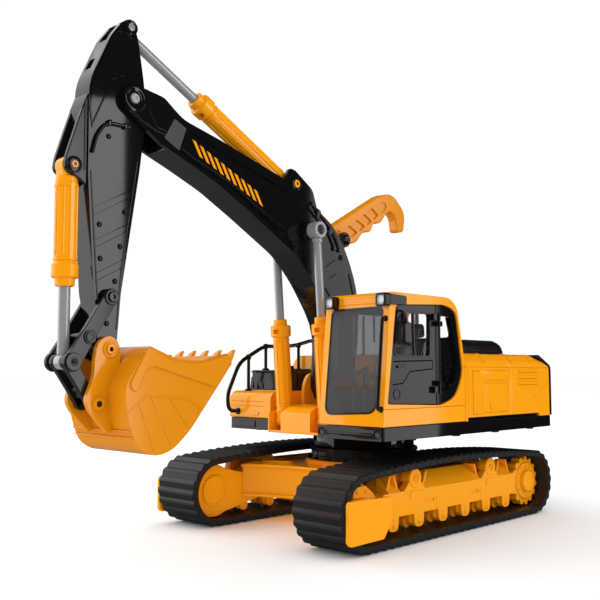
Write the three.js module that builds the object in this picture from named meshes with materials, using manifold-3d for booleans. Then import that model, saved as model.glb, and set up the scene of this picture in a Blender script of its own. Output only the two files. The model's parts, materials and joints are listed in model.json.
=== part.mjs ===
// Crawler excavator toy, about 1:16. Millimetres, +Z up, +X towards the bucket, +Y to the cab side.
// Everything is drawn around the slew axis, then the whole machine is moved so that the origin is
// the bottom centre of its bounding box.
import * as THREE from 'three';
import { mergeVertices } from 'three/addons/utils/BufferGeometryUtils.js';
import Module from 'manifold-3d';

const wasm = await Module();
wasm.setup();

// ---------------------------------------------------------------- driving dimensions (mm)
const GAP = 0.3;                 // clearance between neighbouring pieces
const ROUND = 3;                 // segments in a rounded corner
const CIRCLE = 14;               // segments in a full circle

const TRACK = { halfWidth: 100, beltWidth: 47, wheelbase: 232, radius: 27.25, belt: 5.5, crown: 5 };
const FRAME = { inner: 60, outer: 91.5, bottom: 18.7, top: 36.5 };
const HOUSE = { rear: -152, left: 98, right: -93, front: 71, cabFront: 97, floor: 74, deck: 83.6 };
const CAB = { right: 37, left: 97.9, rear: -8, wall: 3, floor: 84, roof: 180.6, rake: 0.0966 };
const HOOD = { top: 138, shoulder: 128, front: -8.3 };
const BOOM = { pivot: [42, 107], tip: [249.5, 302.7], half: 12.5, fork: 9.3, trough: 9.5 };
const LIFT = { foot: [72.5, 84], eye: [83.7, 234], side: 22.8, rod: 3.4, barrel: 6.2, head: 8.2 };
const ARM_CYL = { foot: [95.7, 270.6], eye: [251, 351.5], rod: 3.5, barrel: 7.2, head: 8.6 };
const BUCKET_CYL = { foot: [290.5, 252], rod: 3.7, barrel: 7, head: 8.4 };
const ARM = { half: 8.5, leverPin: [264, 170.3], bucketPin: [264.6, 137.2] };
const LINK = { top: [290.3, 129.2], bottom: [273.1, 103.2] };
const BUCKET = { half: 33, wall: 3, earInner: 9.3, earOuter: 13 };
const RAIL_Y = -82;
const COVER_Y = 103.3;           // outer face of the track covers, the widest point each side

// ---------------------------------------------------------------- materials
const paint = (color, roughness, metalness = 0) =>
  new THREE.MeshStandardMaterial({ color, roughness, metalness });
const ORANGE = paint(0xf59a12, 0.38);
const BLACK = paint(0x161617, 0.3);
const DARK = paint(0x46474a, 0.5);
const TREAD = paint(0x2e2f31, 0.75);
const SILVER = paint(0xa9aaad, 0.35, 0.6);
const SMOKED = new THREE.MeshStandardMaterial({
  color: 0x4a4b4f, roughness: 0.08, transparent: true, opacity: 0.45,
});
const CLEAR = new THREE.MeshStandardMaterial({
  color: 0xe8ecef, roughness: 0.05, transparent: true, opacity: 0.5,
});

// ---------------------------------------------------------------- solids
function toSolid(geometry) {
  const source = geometry.index ? geometry.toNonIndexed() : geometry.clone();
  for (const name of Object.keys(source.attributes)) {
    if (name !== 'position') source.deleteAttribute(name);
  }
  const merged = mergeVertices(source, 1e-4);
  return new wasm.Manifold(new wasm.Mesh({
    numProp: 3,
    vertProperties: new Float32Array(merged.attributes.position.array),
    triVerts: new Uint32Array(merged.index.array),
  }));
}

function toGeometry(solid) {
  const { vertProperties, triVerts, numProp } = solid.getMesh();
  const position = new Float32Array((vertProperties.length / numProp) * 3);
  for (let i = 0; i < position.length / 3; i += 1) {
    for (let k = 0; k < 3; k += 1) position[3 * i + k] = vertProperties[numProp * i + k];
  }
  const geometry = new THREE.BufferGeometry();
  geometry.setAttribute('position', new THREE.BufferAttribute(position, 3));
  geometry.setIndex(new THREE.BufferAttribute(new Uint32Array(triVerts), 1));
  geometry.computeVertexNormals();
  return geometry;
}

const join = (...solids) => solids.reduce((whole, next) => whole.add(next));
const cut = (solid, ...tools) => tools.reduce((left, tool) => left.subtract(tool), solid);

// A closed outline from corners [a, b] or [a, b, radius].
function outline(corners) {
  const shape = new THREE.Shape();
  corners.forEach(([a, b, wanted = 0], i) => {
    const corner = new THREE.Vector2(a, b);
    const before = new THREE.Vector2(...corners.at(i - 1).slice(0, 2)).sub(corner);
    const after = new THREE.Vector2(...corners[(i + 1) % corners.length].slice(0, 2)).sub(corner);
    const radius = Math.min(wanted, 0.45 * before.length(), 0.45 * after.length());
    const enter = corner.clone().add(before.setLength(radius));
    const leave = corner.clone().add(after.setLength(radius));
    if (i === 0) shape.moveTo(enter.x, enter.y);
    else shape.lineTo(enter.x, enter.y);
    if (radius > 0) shape.quadraticCurveTo(corner.x, corner.y, leave.x, leave.y);
  });
  shape.closePath();
  return shape;
}

function extrude(shape, depth, segments = ROUND) {
  const settings = { depth, bevelEnabled: false, curveSegments: segments };
  return new THREE.ExtrudeGeometry(shape, settings);
}

const asShape = (shape) => (Array.isArray(shape) ? outline(shape) : shape);

// Outline in X and Z, extruded across the machine from y0 to y1.
function side(shape, y0, y1, segments) {
  const geometry = extrude(asShape(shape), Math.abs(y1 - y0), segments);
  return toSolid(geometry.rotateX(Math.PI / 2).translate(0, Math.max(y0, y1), 0));
}

// Outline in X and Y, extruded upwards from z0 to z1.
function plan(shape, z0, z1, segments) {
  return toSolid(extrude(asShape(shape), z1 - z0, segments).translate(0, 0, z0));
}

// Outline in Y and Z, extruded forwards from x0 to x1.
function front(shape, x0, x1, segments) {
  const turn = new THREE.Matrix4().makeBasis(
    new THREE.Vector3(0, 1, 0), new THREE.Vector3(0, 0, 1), new THREE.Vector3(1, 0, 0),
  );
  return toSolid(extrude(asShape(shape), x1 - x0, segments).applyMatrix4(turn).translate(x0, 0, 0));
}

function box(x0, x1, y0, y1, z0, z1) {
  const geometry = new THREE.BoxGeometry(x1 - x0, Math.abs(y1 - y0), z1 - z0);
  return toSolid(geometry.translate((x0 + x1) / 2, (y0 + y1) / 2, (z0 + z1) / 2));
}

function diskY([x, z], radius, y0, y1, segments = CIRCLE) {
  const geometry = new THREE.CylinderGeometry(radius, radius, Math.abs(y1 - y0), segments);
  return toSolid(geometry.translate(x, (y0 + y1) / 2, z));
}

function diskZ(x, y, radius, z0, z1, segments = CIRCLE) {
  const geometry = new THREE.CylinderGeometry(radius, radius, z1 - z0, segments);
  return toSolid(geometry.rotateX(Math.PI / 2).translate(x, y, (z0 + z1) / 2));
}

// A round bar through points, with rounded bends.
function bar(points, radius, steps = 20, sides = 6) {
  const path = new THREE.CurvePath();
  const at = points.map((p) => new THREE.Vector3(...p));
  let from = at[0];
  for (let i = 1; i < at.length - 1; i += 1) {
    const bend = Math.min(4 * radius, at[i].distanceTo(at[i - 1]) / 2, at[i].distanceTo(at[i + 1]) / 2);
    const enter = at[i].clone().add(at[i - 1].clone().sub(at[i]).setLength(bend));
    const leave = at[i].clone().add(at[i + 1].clone().sub(at[i]).setLength(bend));
    if (from.distanceTo(enter) > 1e-3) path.add(new THREE.LineCurve3(from, enter));
    path.add(new THREE.QuadraticBezierCurve3(enter, at[i], leave));
    from = leave;
  }
  path.add(new THREE.LineCurve3(from, at.at(-1)));
  const ring = new THREE.Shape();
  ring.absarc(0, 0, radius, 0, 2 * Math.PI, false);
  const settings = { steps, curveSegments: sides / 2, extrudePath: path, bevelEnabled: false };
  return toSolid(new THREE.ExtrudeGeometry(ring, settings));
}

function part(name, solid, material) {
  const mesh = new THREE.Mesh(toGeometry(solid), material);
  mesh.name = name;
  return mesh;
}

function assembly(...pieces) {
  const group = new THREE.Group();
  group.add(...pieces);
  return group;
}

// ---------------------------------------------------------------- undercarriage
const AXLE_X = TRACK.wheelbase / 2;

function beltLoop(radius) {
  const shape = new THREE.Shape();
  shape.moveTo(-AXLE_X, TRACK.radius - radius);
  shape.lineTo(AXLE_X, TRACK.radius - radius);
  shape.absarc(AXLE_X, TRACK.radius, radius, -Math.PI / 2, Math.PI / 2, false);
  shape.quadraticCurveTo(0, TRACK.radius + radius + 2 * TRACK.crown, -AXLE_X, TRACK.radius + radius);
  shape.absarc(-AXLE_X, TRACK.radius, radius, Math.PI / 2, 1.5 * Math.PI, false);
  return shape;
}

function trackBelt(hand) {
  const loop = beltLoop(TRACK.radius);
  loop.holes.push(new THREE.Path(beltLoop(TRACK.radius - TRACK.belt).getPoints(7)));
  return side(loop, hand * TRACK.halfWidth, hand * (TRACK.halfWidth - TRACK.beltWidth), 7);
}

const CARRIER_X = [51.4, -53.2];
const ROLLER_X = [79, 48, 17, -14, -45, -76];

function trackFrame(hand) {
  const { inner, outer, bottom, top } = FRAME;
  const beam = side([[-93, bottom, 3], [90, bottom, 3], [90, top, 3], [-93, top, 3]],
    hand * inner, hand * outer);
  const wall = side([[84, top - 1], [70, 48, 4], [-76, 48, 4], [-90, top - 1]], hand * 66, hand * 80);
  const yoke = side([[86, bottom + 2], [122, bottom + 1, 5], [122, top - 1, 5], [86, top - 2]],
    hand * 87.3, hand * outer);
  const idlerStub = diskY([AXLE_X, TRACK.radius], 5, hand * 62, hand * 88);
  const plate = side([[-126, 16, 6], [-88, bottom, 0], [-88, top], [-126, 38.5, 6]],
    hand * inner, hand * 64);
  const sprocketStub = diskY([-AXLE_X, TRACK.radius], 5, hand * 62, hand * 88);
  const carriers = CARRIER_X.map((x) => join(
    diskY([x, 44.8], 7.6, hand * 64, hand * 92),
    side([[x - 9, top - 1], [x + 9, top - 1], [x + 5, 46], [x - 5, 46]], hand * 78, hand * outer),
  ));
  const guards = ROLLER_X.map((x) => side(
    [[x - 7, bottom + 1], [x - 6, 9, 4], [x + 6, 9, 4], [x + 7, bottom + 1]],
    hand * 68, hand * outer,
  ));
  return join(beam, wall, yoke, idlerStub, plate, sprocketStub, ...carriers, ...guards);
}

function idlerCover(hand) {
  const face = [[94, 21, 1], [103, 9.3, 2], [136, 8.7, 3], [140.5, 13, 3], [140.5, 34, 3],
    [136, 38, 3], [94, 37, 2]];
  const plate = side(face, hand * (TRACK.halfWidth + GAP), hand * COVER_Y);
  const root = side([[101, 14], [129, 14, 3], [129, 37, 3], [101, 36]],
    hand * (FRAME.outer + GAP), hand * (TRACK.halfWidth + 1));
  return join(plate, root);
}

function idler(hand) {
  const centre = [AXLE_X, TRACK.radius];
  const wheel = join(
    diskY(centre, 21.2, hand * 64, hand * 72, 20),
    diskY(centre, 21.2, hand * 78, hand * 86, 20),
    diskY(centre, 15, hand * 66, hand * 84, 16),
  );
  return cut(wheel, diskY(centre, 5.5, hand * 60, hand * 90));
}

function sprocket(hand) {
  const centre = [-AXLE_X, TRACK.radius];
  const teeth = 15;
  const shape = new THREE.Shape();
  for (let i = 0; i < teeth; i += 1) {
    for (const [turn, radius] of [[-0.32, 18], [-0.15, 21.2], [0.15, 21.2], [0.32, 18]]) {
      const angle = ((i + turn) / teeth) * 2 * Math.PI;
      const x = centre[0] + radius * Math.cos(angle);
      const z = centre[1] + radius * Math.sin(angle);
      if (i === 0 && turn < -0.3) shape.moveTo(x, z);
      else shape.lineTo(x, z);
    }
  }
  shape.closePath();
  const wheel = join(
    side(shape, hand * 80, hand * 88),
    diskY(centre, 16.5, hand * 66, hand * 89.5, 20),
    diskY(centre, 9, hand * 88, hand * 92, 14),
  );
  return cut(wheel, diskY(centre, 5.5, hand * 60, hand * 88.6));
}

function carBody() {
  const reach = FRAME.inner - GAP;
  const shape = new THREE.Shape();
  shape.moveTo(88, -reach);
  shape.quadraticCurveTo(48, 0, 88, reach);
  shape.lineTo(-88, reach);
  shape.quadraticCurveTo(-48, 0, -88, -reach);
  shape.closePath();
  return join(plan(shape, 20, 46.5, 8), diskZ(0, 0, 50, 46, 50, 24));
}

const undercarriage = assembly(
  part('car_body', carBody(), ORANGE),
  part('slew_ring_lower', diskZ(0, 0, 46, 50.3, 60, 24), DARK),
);
for (const [label, hand] of [['left', 1], ['right', -1]]) {
  undercarriage.add(
    part(`${label}_track_frame`, trackFrame(hand), ORANGE),
    part(`${label}_track_belt`, trackBelt(hand), TREAD),
    part(`${label}_idler_cover`, idlerCover(hand), ORANGE),
    part(`${label}_idler`, idler(hand), ORANGE),
    part(`${label}_sprocket`, sprocket(hand), ORANGE),
  );
}

// ---------------------------------------------------------------- turntable and rear body
const MOUNT = { right: -30.8, left: 35, back: 30, front: 84.5, top: 91 };

function houseBase() {
  const { rear, left, right, front: nose, cabFront, floor, deck } = HOUSE;
  const skirt = plan([
    [cabFront, left, 2], [rear, left, 8], [rear, right, 8], [nose, right, 4],
    [nose, MOUNT.right - GAP], [MOUNT.back - GAP, MOUNT.right - GAP],
    [MOUNT.back - GAP, MOUNT.left + GAP], [cabFront, MOUNT.left + GAP, 1],
  ], floor, deck);
  return join(skirt, box(-127, -12, right + 2, left - 2, deck - 1, deck + 2.8));
}

function engineHood() {
  const { left, right, rear, deck } = HOUSE;
  const section = [[right, deck + GAP], [left, deck + GAP], [left, HOOD.shoulder, 2],
    [left - 1.5, 131.5, 2], [left - 9, HOOD.top, 3], [right + 8, HOOD.top, 3],
    [right, 131, 4]];
  const body = front(section, rear, HOOD.front);
  const tail = side([[-200, 60], [-200, 150], [-126.5, 150], [-126.5, 136.5, 2], [-146.2, 127, 3],
    [-146.2, 60]], -120, 120);
  const step = box(-127.4, -11.6, right - 1, left + 1, deck, deck + 3.1);
  return cut(body, tail, step);
}

// Dark frame that wraps the tail of the hood.
function rearFrame() {
  const { left, right, rear, deck } = HOUSE;
  const skin = side([[rear + 5.2, deck + GAP], [rear + 5.2, 127.6, 2], [-128.2, 136.9, 1],
    [-129.4, 138.2, 1], [rear + 1, 128.6, 3], [rear, 124, 2], [rear, deck + GAP]], right + 1, left - 1);
  return cut(skin, engineHood());
}

function airBox() {
  const body = front([[25, 138.4], [80, 138.4], [80, 146, 3], [76, 149.4, 3], [29, 149.4, 3], [25, 146, 3]],
    -97, -36);
  const slope = side([[-88, 152], [-99, 138], [-110, 138], [-110, 152]], 0, 100);
  const ribs = [-84, -76, -68, -60, -52, -44].map((x) => box(x, x + 3, 20, 90, 148.4, 151));
  return cut(body, slope, ...ribs);
}

// Orange centre block with the boom cheeks and the two open feet for the lift cylinders.
function boomMount() {
  const { right, left, back, front: nose, top } = MOUNT;
  const block = side([[back, 74], [nose, 74, 1], [nose, top, 2], [back, top]], right, left);
  const cheek = [[26, 88], [60, 88], [60, 112, 10], [54, 122, 8], [36, 122, 10], [26, 110, 6]];
  const cheeks = [1, -1].map((hand) => side(cheek, hand * 13.2, hand * 16.4));
  const slots = [1, -1].map((hand) => box(60, 90, hand * LIFT.side - 6.6, hand * LIFT.side + 6.6, 76, 95));
  const bore = diskY(BOOM.pivot, 4.8, -30, 30);
  const well = box(back + 2, 62, -13.2, 13.2, 90, 100);
  return cut(join(block, ...cheeks), ...slots, bore, well);
}

// ---------------------------------------------------------------- cab
const cabFrontX = (z) => HOUSE.cabFront - (z - CAB.floor) * CAB.rake;

const DOOR_OPENING = [[81, 171.5, 4], [91.6, 100, 2], [26, 97.6, 4], [5, 103, 14], [-5.6, 122, 8],
  [3, 171, 16], [20, 174.8, 6]];
const WINDSCREEN = [[43.5, 169, 5], [92.5, 169.5, 5], [90.5, 94, 8], [42.5, 91.5, 8]];
const HINGE = [30.2, 99.4];

function grow(corners, amount) {
  const centre = [0, 1].map((k) => corners.reduce((sum, c) => sum + c[k], 0) / corners.length);
  return corners.map(([a, b, radius]) => {
    const out = new THREE.Vector2(a - centre[0], b - centre[1]);
    out.setLength(out.length() + amount);
    return [centre[0] + out.x, centre[1] + out.y, radius];
  });
}

function cabShell() {
  const { left, right, rear, wall, floor, roof } = CAB;
  const outside = [[HOUSE.cabFront, floor, 1], [cabFrontX(172), 172, 2], [cabFrontX(180), roof, 5],
    [12, roof, 6], [1.5, 174, 8], [rear, 131, 10], [rear, floor]];
  const inside = [[cabFrontX(88) - wall, 88], [cabFrontX(174) - wall, 174.6, 3], [10, 175.5, 5],
    [4.5, 170, 5], [rear + wall, 130], [rear + wall, 88]];
  const shell = cut(side(outside, right, left), side(inside, right + wall, left - wall));
  return cut(
    shell,
    side(DOOR_OPENING, left - wall - 1, left + 5),
    front(WINDSCREEN, 80, 110),
    side([[14, 108, 4], [82, 108, 4], [77, 168, 4], [16, 168, 4]], right - 3, right + wall + 1),
    front([[48, 150.3, 3], [88.5, 150.3, 3], [87.5, 171, 5], [49, 171, 5]], rear - 3, 12),
  );
}

const DOOR_Y = [CAB.left - 3.9, CAB.left - 0.9];

function doorPanel() {
  const rearCut = box(-30, HINGE[0] + 0.8, 80, 110, 60, 200);
  return cut(side(grow(DOOR_OPENING, -0.6), ...DOOR_Y), rearCut);
}

const DOOR_WINDOW = [[39.5, 135, 3], [38.5, 166.5, 3], [77, 165.5, 4], [81.5, 135, 5]];

function cabDoor() {
  const knuckles = [[161.8, 167], [107, 112]].map(([z0, z1]) => join(
    diskZ(...HINGE, 1.8, z0, z1, 12),
    box(HINGE[0] + 1, HINGE[0] + 6, DOOR_Y[1] - 0.5, HINGE[1] + 0.6, z0, z1),
  ));
  return join(cut(doorPanel(), side(DOOR_WINDOW, 80, 110)), ...knuckles);
}

const REAR_WINDOW = [[8.2, 112, 8], [26, 107, 3], [24.5, 166, 3], [9, 166, 8], [1.5, 128, 4]];

function cabSideFrame() {
  const frontCut = box(HINGE[0] - 0.4, 120, 80, 110, 60, 200);
  const panel = cut(side(grow(DOOR_OPENING, -0.6), ...DOOR_Y), frontCut, side(REAR_WINDOW, 80, 110));
  const knuckles = [[157.5, 161.5], [112.3, 116.3]].map(([z0, z1]) => join(
    diskZ(...HINGE, 1.8, z0, z1, 12),
    box(HINGE[0] - 5, HINGE[0] - 0.6, DOOR_Y[1] - 0.5, HINGE[1] + 0.6, z0, z1),
  ));
  return join(panel, ...knuckles);
}

const pane = (corners) => side(grow(corners, -0.5), DOOR_Y[0] + 0.6, DOOR_Y[0] + 2);

function windscreen() {
  const [inset, thickness] = [0.4, 2.4];
  const face = (z, depth) => [cabFrontX(z) - inset - depth, z];
  const slab = side([face(80, 0), face(180, 0), face(180, thickness), face(80, thickness)], 30, 110);
  return slab.intersect(front(grow(WINDSCREEN, -0.5), 70, 110));
}

function mirror() {
  const arm = bar([[78, 97.6, 166.3], [78, 101.4, 166], [74.5, 101.6, 152]], 1.1, 8, 6);
  return join(arm, side([[69.5, 143.5, 2], [77, 143.5, 2], [77.5, 153, 2], [69, 153, 2]], 100.6, COVER_Y));
}

function seat() {
  const cushion = side([[18, 96], [58, 96, 3], [60, 110, 4], [38, 109, 3], [29, 150, 5], [17, 149, 4],
    [13, 112, 4]], 52, 86);
  return join(cushion, box(22, 50, 58, 80, 88.3, 97));
}

function controlStand() {
  const stand = side([[62, 88.3], [84, 88.3], [80, 100, 2], [70, 100, 2]], 58, 80);
  const levers = [62, 74].map((y) => join(
    bar([[75, y, 98], [72, y, 118]], 1.4, 2, 6),
    diskZ(72, y, 2.4, 116, 122, 10),
  ));
  return join(stand, ...levers);
}

const LIGHT = { x0: 89.3, x1: 95.5, z0: 169.6, z1: 179.2 };

function workLight(y0, y1) {
  const { x0, x1, z0, z1 } = LIGHT;
  const body = front([[y0, z0, 1.5], [y1, z0, 1.5], [y1, z1, 1.5], [y0, z1, 1.5]], x0, x1);
  return cut(body, box(x1 - 2, x1 + 1, y0 + 1.4, y1 - 1.4, z0 + 1.4, z1 - 1.4));
}

function lightLens(y0, y1) {
  const { x1, z0, z1 } = LIGHT;
  return box(x1 - 1.7, x1 - 0.4, y0 + 1.8, y1 - 1.8, z0 + 1.8, z1 - 1.8);
}

function grabRod() {
  const y = 95;
  return bar([[cabFrontX(160) + GAP + 0.2, y, 160], [cabFrontX(160) + 3.6, y, 160],
    [cabFrontX(95.5) + 3.6, y, 95.5], [cabFrontX(95.5) + GAP + 0.2, y, 95.5]], 1.5, 12, 6);
}

const LEFT_LIGHT = [90.4, 99.4];
const RIGHT_LIGHT = [41.5, 50.5];
const LEFT_LIGHT_ARM = box(74, 90, 98.2, 99.9, 171.5, 178);

// ---------------------------------------------------------------- right deck
function toolbox() {
  const { right, front: nose, deck } = HOUSE;
  const bottom = deck + GAP;
  return side([[-7.9, bottom], [nose, bottom, 1], [nose, 102, 4], [66, 106.3, 4], [-7.9, 106.3]], right, -42);
}

function tankBox() {
  return side([[-7.9, 106.6], [53, 106.6], [50, 124.4, 1], [-7.9, 124.4]], -87, -52);
}

function handrail() {
  const path = [[71.6, 89], [82, 90], [83.6, 103], [70, 131], [39, 146.4], [22, 145.4], [0, 147.4],
    [-27, 153.6], [-31, 138.5]];
  const rail = bar(path.map(([x, z]) => [x, RAIL_Y, z]), 1.7, 34, 6);
  const posts = [[59, 106.6, 136], [38, 124.7, 146], [-4.5, 124.7, 148]].map(([x, z0, z1]) =>
    diskZ(x, RAIL_Y, 1.5, z0, z1, 8));
  return join(rail, ...posts);
}

const house = assembly(
  part('slew_ring_upper', diskZ(0, 0, 43, 60.4, 73.7, 24), BLACK),
  part('house_base', houseBase(), BLACK),
  part('engine_hood', engineHood(), ORANGE),
  part('rear_frame', rearFrame(), DARK),
  part('air_box', airBox(), DARK),
  part('boom_mount', boomMount(), ORANGE),
  part('boom_foot_pin', diskY(BOOM.pivot, 4.4, -18, 18), DARK),
  part('cab_shell', cabShell(), ORANGE),
  part('cab_side_frame', cabSideFrame(), BLACK),
  part('cab_side_window', pane(REAR_WINDOW), CLEAR),
  part('windscreen', windscreen(), SMOKED),
  part('seat', seat(), DARK),
  part('control_stand', controlStand(), DARK),
  part('grab_rod', grabRod(), BLACK),
  part('left_work_light', join(workLight(...LEFT_LIGHT), LEFT_LIGHT_ARM), BLACK),
  part('left_light_lens', lightLens(...LEFT_LIGHT), CLEAR),
  part('right_work_light', workLight(...RIGHT_LIGHT), BLACK),
  part('right_light_lens', lightLens(...RIGHT_LIGHT), CLEAR),
  part('toolbox', toolbox(), ORANGE),
  part('tank_box', tankBox(), DARK),
  part('handrail', handrail(), BLACK),
);
const door = assembly(
  part('cab_door', cabDoor(), BLACK),
  part('door_window', pane(DOOR_WINDOW), CLEAR),
  part('door_mirror', mirror(), BLACK),
);

// ---------------------------------------------------------------- boom
function boomShell() {
  const { pivot, tip, half, fork, trough } = BOOM;
  const profile = [[tip[0] + 9, tip[1] + 3, 6], [tip[0], tip[1] + 10, 6], [225, 309.2, 3], [217, 303.3, 3],
    [208, 297.4, 8], [175, 289.9, 4], [111, 272.7, 4], [82, 258.3, 12], [50, 242, 16], [32.5, 216.5, 14],
    [21.5, 188.5, 18], [21, 150, 20], [30, 108, 6], [pivot[0], 95.5, 9], [53.5, 108, 6], [50, 158, 18],
    [78.5, 197, 14], [98.5, 215.5, 8], [144, 240.5, 10], [174, 256, 6], [203, 267.5, 4], [226, 275.8, 3],
    [238, 283, 4], [tip[0] + 8, tip[1] - 6, 5]];
  const ear = [[111.5, 270], [103.5, 282, 4], [97.5, 281.5, 5], [77, 268.6, 4], [70.5, 250]];
  const ears = [1, -1].map((hand) => side(ear, hand * trough, hand * half));
  const body = join(side(profile, -half, half), ...ears);
  const channel = side([[84, 290], [84, 256.5, 4], [104, 261, 3], [150, 274, 3], [172, 300], [130, 310]],
    -trough, trough);
  const slot = side([[222, 258], [222, 330], [290, 330], [290, 258]], -fork, fork);
  return cut(body, channel, slot, diskY(tip, 4.6, -20, 20), diskY(pivot, 4.7, -20, 20),
    diskY(ARM_CYL.foot, 3.5, -20, 20));
}

function handle() {
  const outer = [[46.8, 243.2], [40, 246.5, 4], [-22.5, 281.7, 8], [-39, 284, 12], [-57, 269, 11],
    [-54, 251, 3], [-45, 250, 3], [-42.5, 264, 6], [-34, 268.5, 5], [-26, 262, 3], [-21, 255, 4],
    [-10, 254, 4], [-6.8, 245.5, 4], [5, 244, 4], [12, 234.5, 4], [24, 231, 3], [33.6, 223]];
  return join(side(outer, -5, 5), diskY([33.6, 235], 6, -6.5, 6.5));
}

const boom = assembly(
  part('boom_shell', boomShell(), BLACK),
  part('boom_handle', handle(), ORANGE),
  part('arm_pivot_pin', diskY(BOOM.tip, 4.2, -15, 15), SILVER),
  part('arm_cylinder_pin', diskY(ARM_CYL.foot, 3.2, -13.6, 13.6), ORANGE),
);
for (const [label, hand] of [['left', 1], ['right', -1]]) {
  boom.add(part(`${label}_lift_boss`, diskY(LIFT.eye, 8, hand * (BOOM.half + GAP), hand * 16.6), BLACK));
}

// ---------------------------------------------------------------- hydraulic cylinders
// Drawn along local +Z from the foot pivot at the origin, then leaned into place.
function lean(group, foot, eye) {
  group.rotation.y = Math.atan2(eye[0] - foot[0], eye[1] - foot[1]);
  group.position.set(foot[0], group.position.y, foot[1]);
  return group;
}

function cylinderBarrel({ barrel, head, length, lug, bore }) {
  const tube = join(
    diskZ(0, 0, barrel, 9, length - 14),
    diskZ(0, 0, head, length - 14, length - 4),
    diskZ(0, 0, barrel * 0.86, length - 4.5, length),
    diskY([0, 0], barrel * 0.92, -lug, lug),
    box(-barrel * 0.8, barrel * 0.8, -lug, lug, 0, 10),
  );
  const hollow = diskZ(0, 0, barrel - 2.1, 12, length + 1);
  return cut(tube, hollow, diskY([0, 0], bore, -20, 20));
}

function cylinderRod({ rod, from, to, eyeRadius, eyeHalf, bore = 0 }) {
  const shaft = join(diskZ(0, 0, rod, from, to, 14), diskY([0, to], eyeRadius, -eyeHalf, eyeHalf));
  return bore > 0 ? cut(shaft, diskY([0, to], bore, -40, 40)) : shaft;
}

const distance = (a, b) => Math.hypot(a[0] - b[0], a[1] - b[1]);

for (const [label, hand] of [['left', 1], ['right', -1]]) {
  const reach = distance(LIFT.foot, LIFT.eye);
  const barrel = cylinderBarrel({ barrel: LIFT.barrel, head: LIFT.head, length: 82, lug: 5.4, bore: 2.2 });
  const rod = cylinderRod({ rod: LIFT.rod, from: 39, to: reach, eyeRadius: 6.6, eyeHalf: 5, bore: 3.8 });
  const pair = assembly(
    part(`${label}_lift_barrel`, barrel, ORANGE),
    part(`${label}_lift_rod`, rod, SILVER),
  );
  pair.position.y = hand * LIFT.side;
  house.add(lean(pair, LIFT.foot, LIFT.eye));
}

const armCylinder = lean(assembly(
  part('arm_cylinder_barrel', cylinderBarrel({
    barrel: ARM_CYL.barrel, head: ARM_CYL.head, length: 106, lug: 5.2, bore: 3.5,
  }), ORANGE),
  part('arm_cylinder_rod', cylinderRod({
    rod: ARM_CYL.rod, from: 40, to: distance(ARM_CYL.foot, ARM_CYL.eye), eyeRadius: 5, eyeHalf: 3.6,
  }), SILVER),
), ARM_CYL.foot, ARM_CYL.eye);

const bucketCylinder = lean(assembly(
  part('bucket_cylinder_barrel', cylinderBarrel({
    barrel: BUCKET_CYL.barrel, head: BUCKET_CYL.head, length: 76, lug: 4.6, bore: 2.5,
  }), ORANGE),
  part('bucket_cylinder_rod', cylinderRod({
    rod: BUCKET_CYL.rod, from: 47, to: distance(BUCKET_CYL.foot, LINK.top), eyeRadius: 5, eyeHalf: 3.6,
  }), SILVER),
), BUCKET_CYL.foot, LINK.top);

// ---------------------------------------------------------------- arm
function armShell() {
  const { half, leverPin, bucketPin } = ARM;
  const eye = ARM_CYL.eye;
  const profile = [[eye[0] + 6, eye[1] + 3, 4], [eye[0] - 1, eye[1] + 7, 4], [244.5, 346, 5], [238.6, 313, 8],
    [237.5, 290, 8], [241.5, 257, 8], [254.6, 173], [256.5, 148, 4], [bucketPin[0] - 7, 136, 5],
    [bucketPin[0], bucketPin[1] - 7.5, 5], [bucketPin[0] + 7, 138, 5], [272, 160, 4], [275, 172, 4],
    [281, 250, 8], [281.2, 308, 8], [265.5, 343, 4]];
  const body = side(profile, -half, half);
  const rodSlot = side([[210, 318], [236, 322], [243, 336, 3], [258, 338, 6], [290, 346], [270, 380],
    [220, 370]], -4.5, 4.5);
  return cut(body, rodSlot, diskY(BOOM.tip, 4.6, -20, 20), diskY(leverPin, 3.4, -20, 20),
    diskY(bucketPin, 3.4, -20, 20));
}

function cylinderBracket() {
  const plate = [[281.6, 300], [281.4, 240], [285, 243, 2], [290, 245.6, 3], [297, 249, 5], [296, 257, 6],
    [288, 282, 12]];
  const ears = [1, -1].map((hand) => side(plate, hand * 5, hand * 8.2));
  const web = side([[281.6, 300], [281.5, 270], [284.5, 274], [285.5, 290]], -8.2, 8.2);
  return cut(join(...ears, web), diskY(BUCKET_CYL.foot, 2.5, -20, 20));
}

const arm = assembly(
  part('arm_shell', armShell(), BLACK),
  part('bucket_cylinder_bracket', cylinderBracket(), DARK),
  part('bucket_cylinder_pin', diskY(BUCKET_CYL.foot, 2.2, -9.6, 9.6), DARK),
  part('lever_pivot_pin', diskY(ARM.leverPin, 3.1, -14.6, 14.6), DARK),
  part('bucket_pivot_pin', diskY(ARM.bucketPin, 3.1, -14.6, 14.6), DARK),
);

// ---------------------------------------------------------------- bucket lever and link
function strap(a, b, r0, r1, y0, y1) {
  const along = new THREE.Vector2(b[0] - a[0], b[1] - a[1]).normalize();
  const across = new THREE.Vector2(-along.y, along.x);
  const corner = (p, r, sign) => [p[0] + across.x * r * sign, p[1] + across.y * r * sign];
  const web = side([corner(a, r0 * 0.9, 1), corner(b, r1 * 0.9, 1), corner(b, r1 * 0.9, -1),
    corner(a, r0 * 0.9, -1)].reverse(), y0, y1);
  return join(web, diskY(a, r0, y0, y1), diskY(b, r1, y0, y1));
}

function bucketLever() {
  const arms = [1, -1].map((hand) => strap(ARM.leverPin, LINK.top, 5.5, 6.2, hand * 9, hand * 12.6));
  const stubs = [1, -1].map((hand) => diskY(LINK.top, 3, hand * 4.2, hand * 10));
  const crossTube = diskY([280.5, 145.5], 2, -10, 10, 12);
  return cut(join(...arms, ...stubs, crossTube), diskY(ARM.leverPin, 3.4, -20, 20));
}

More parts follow.
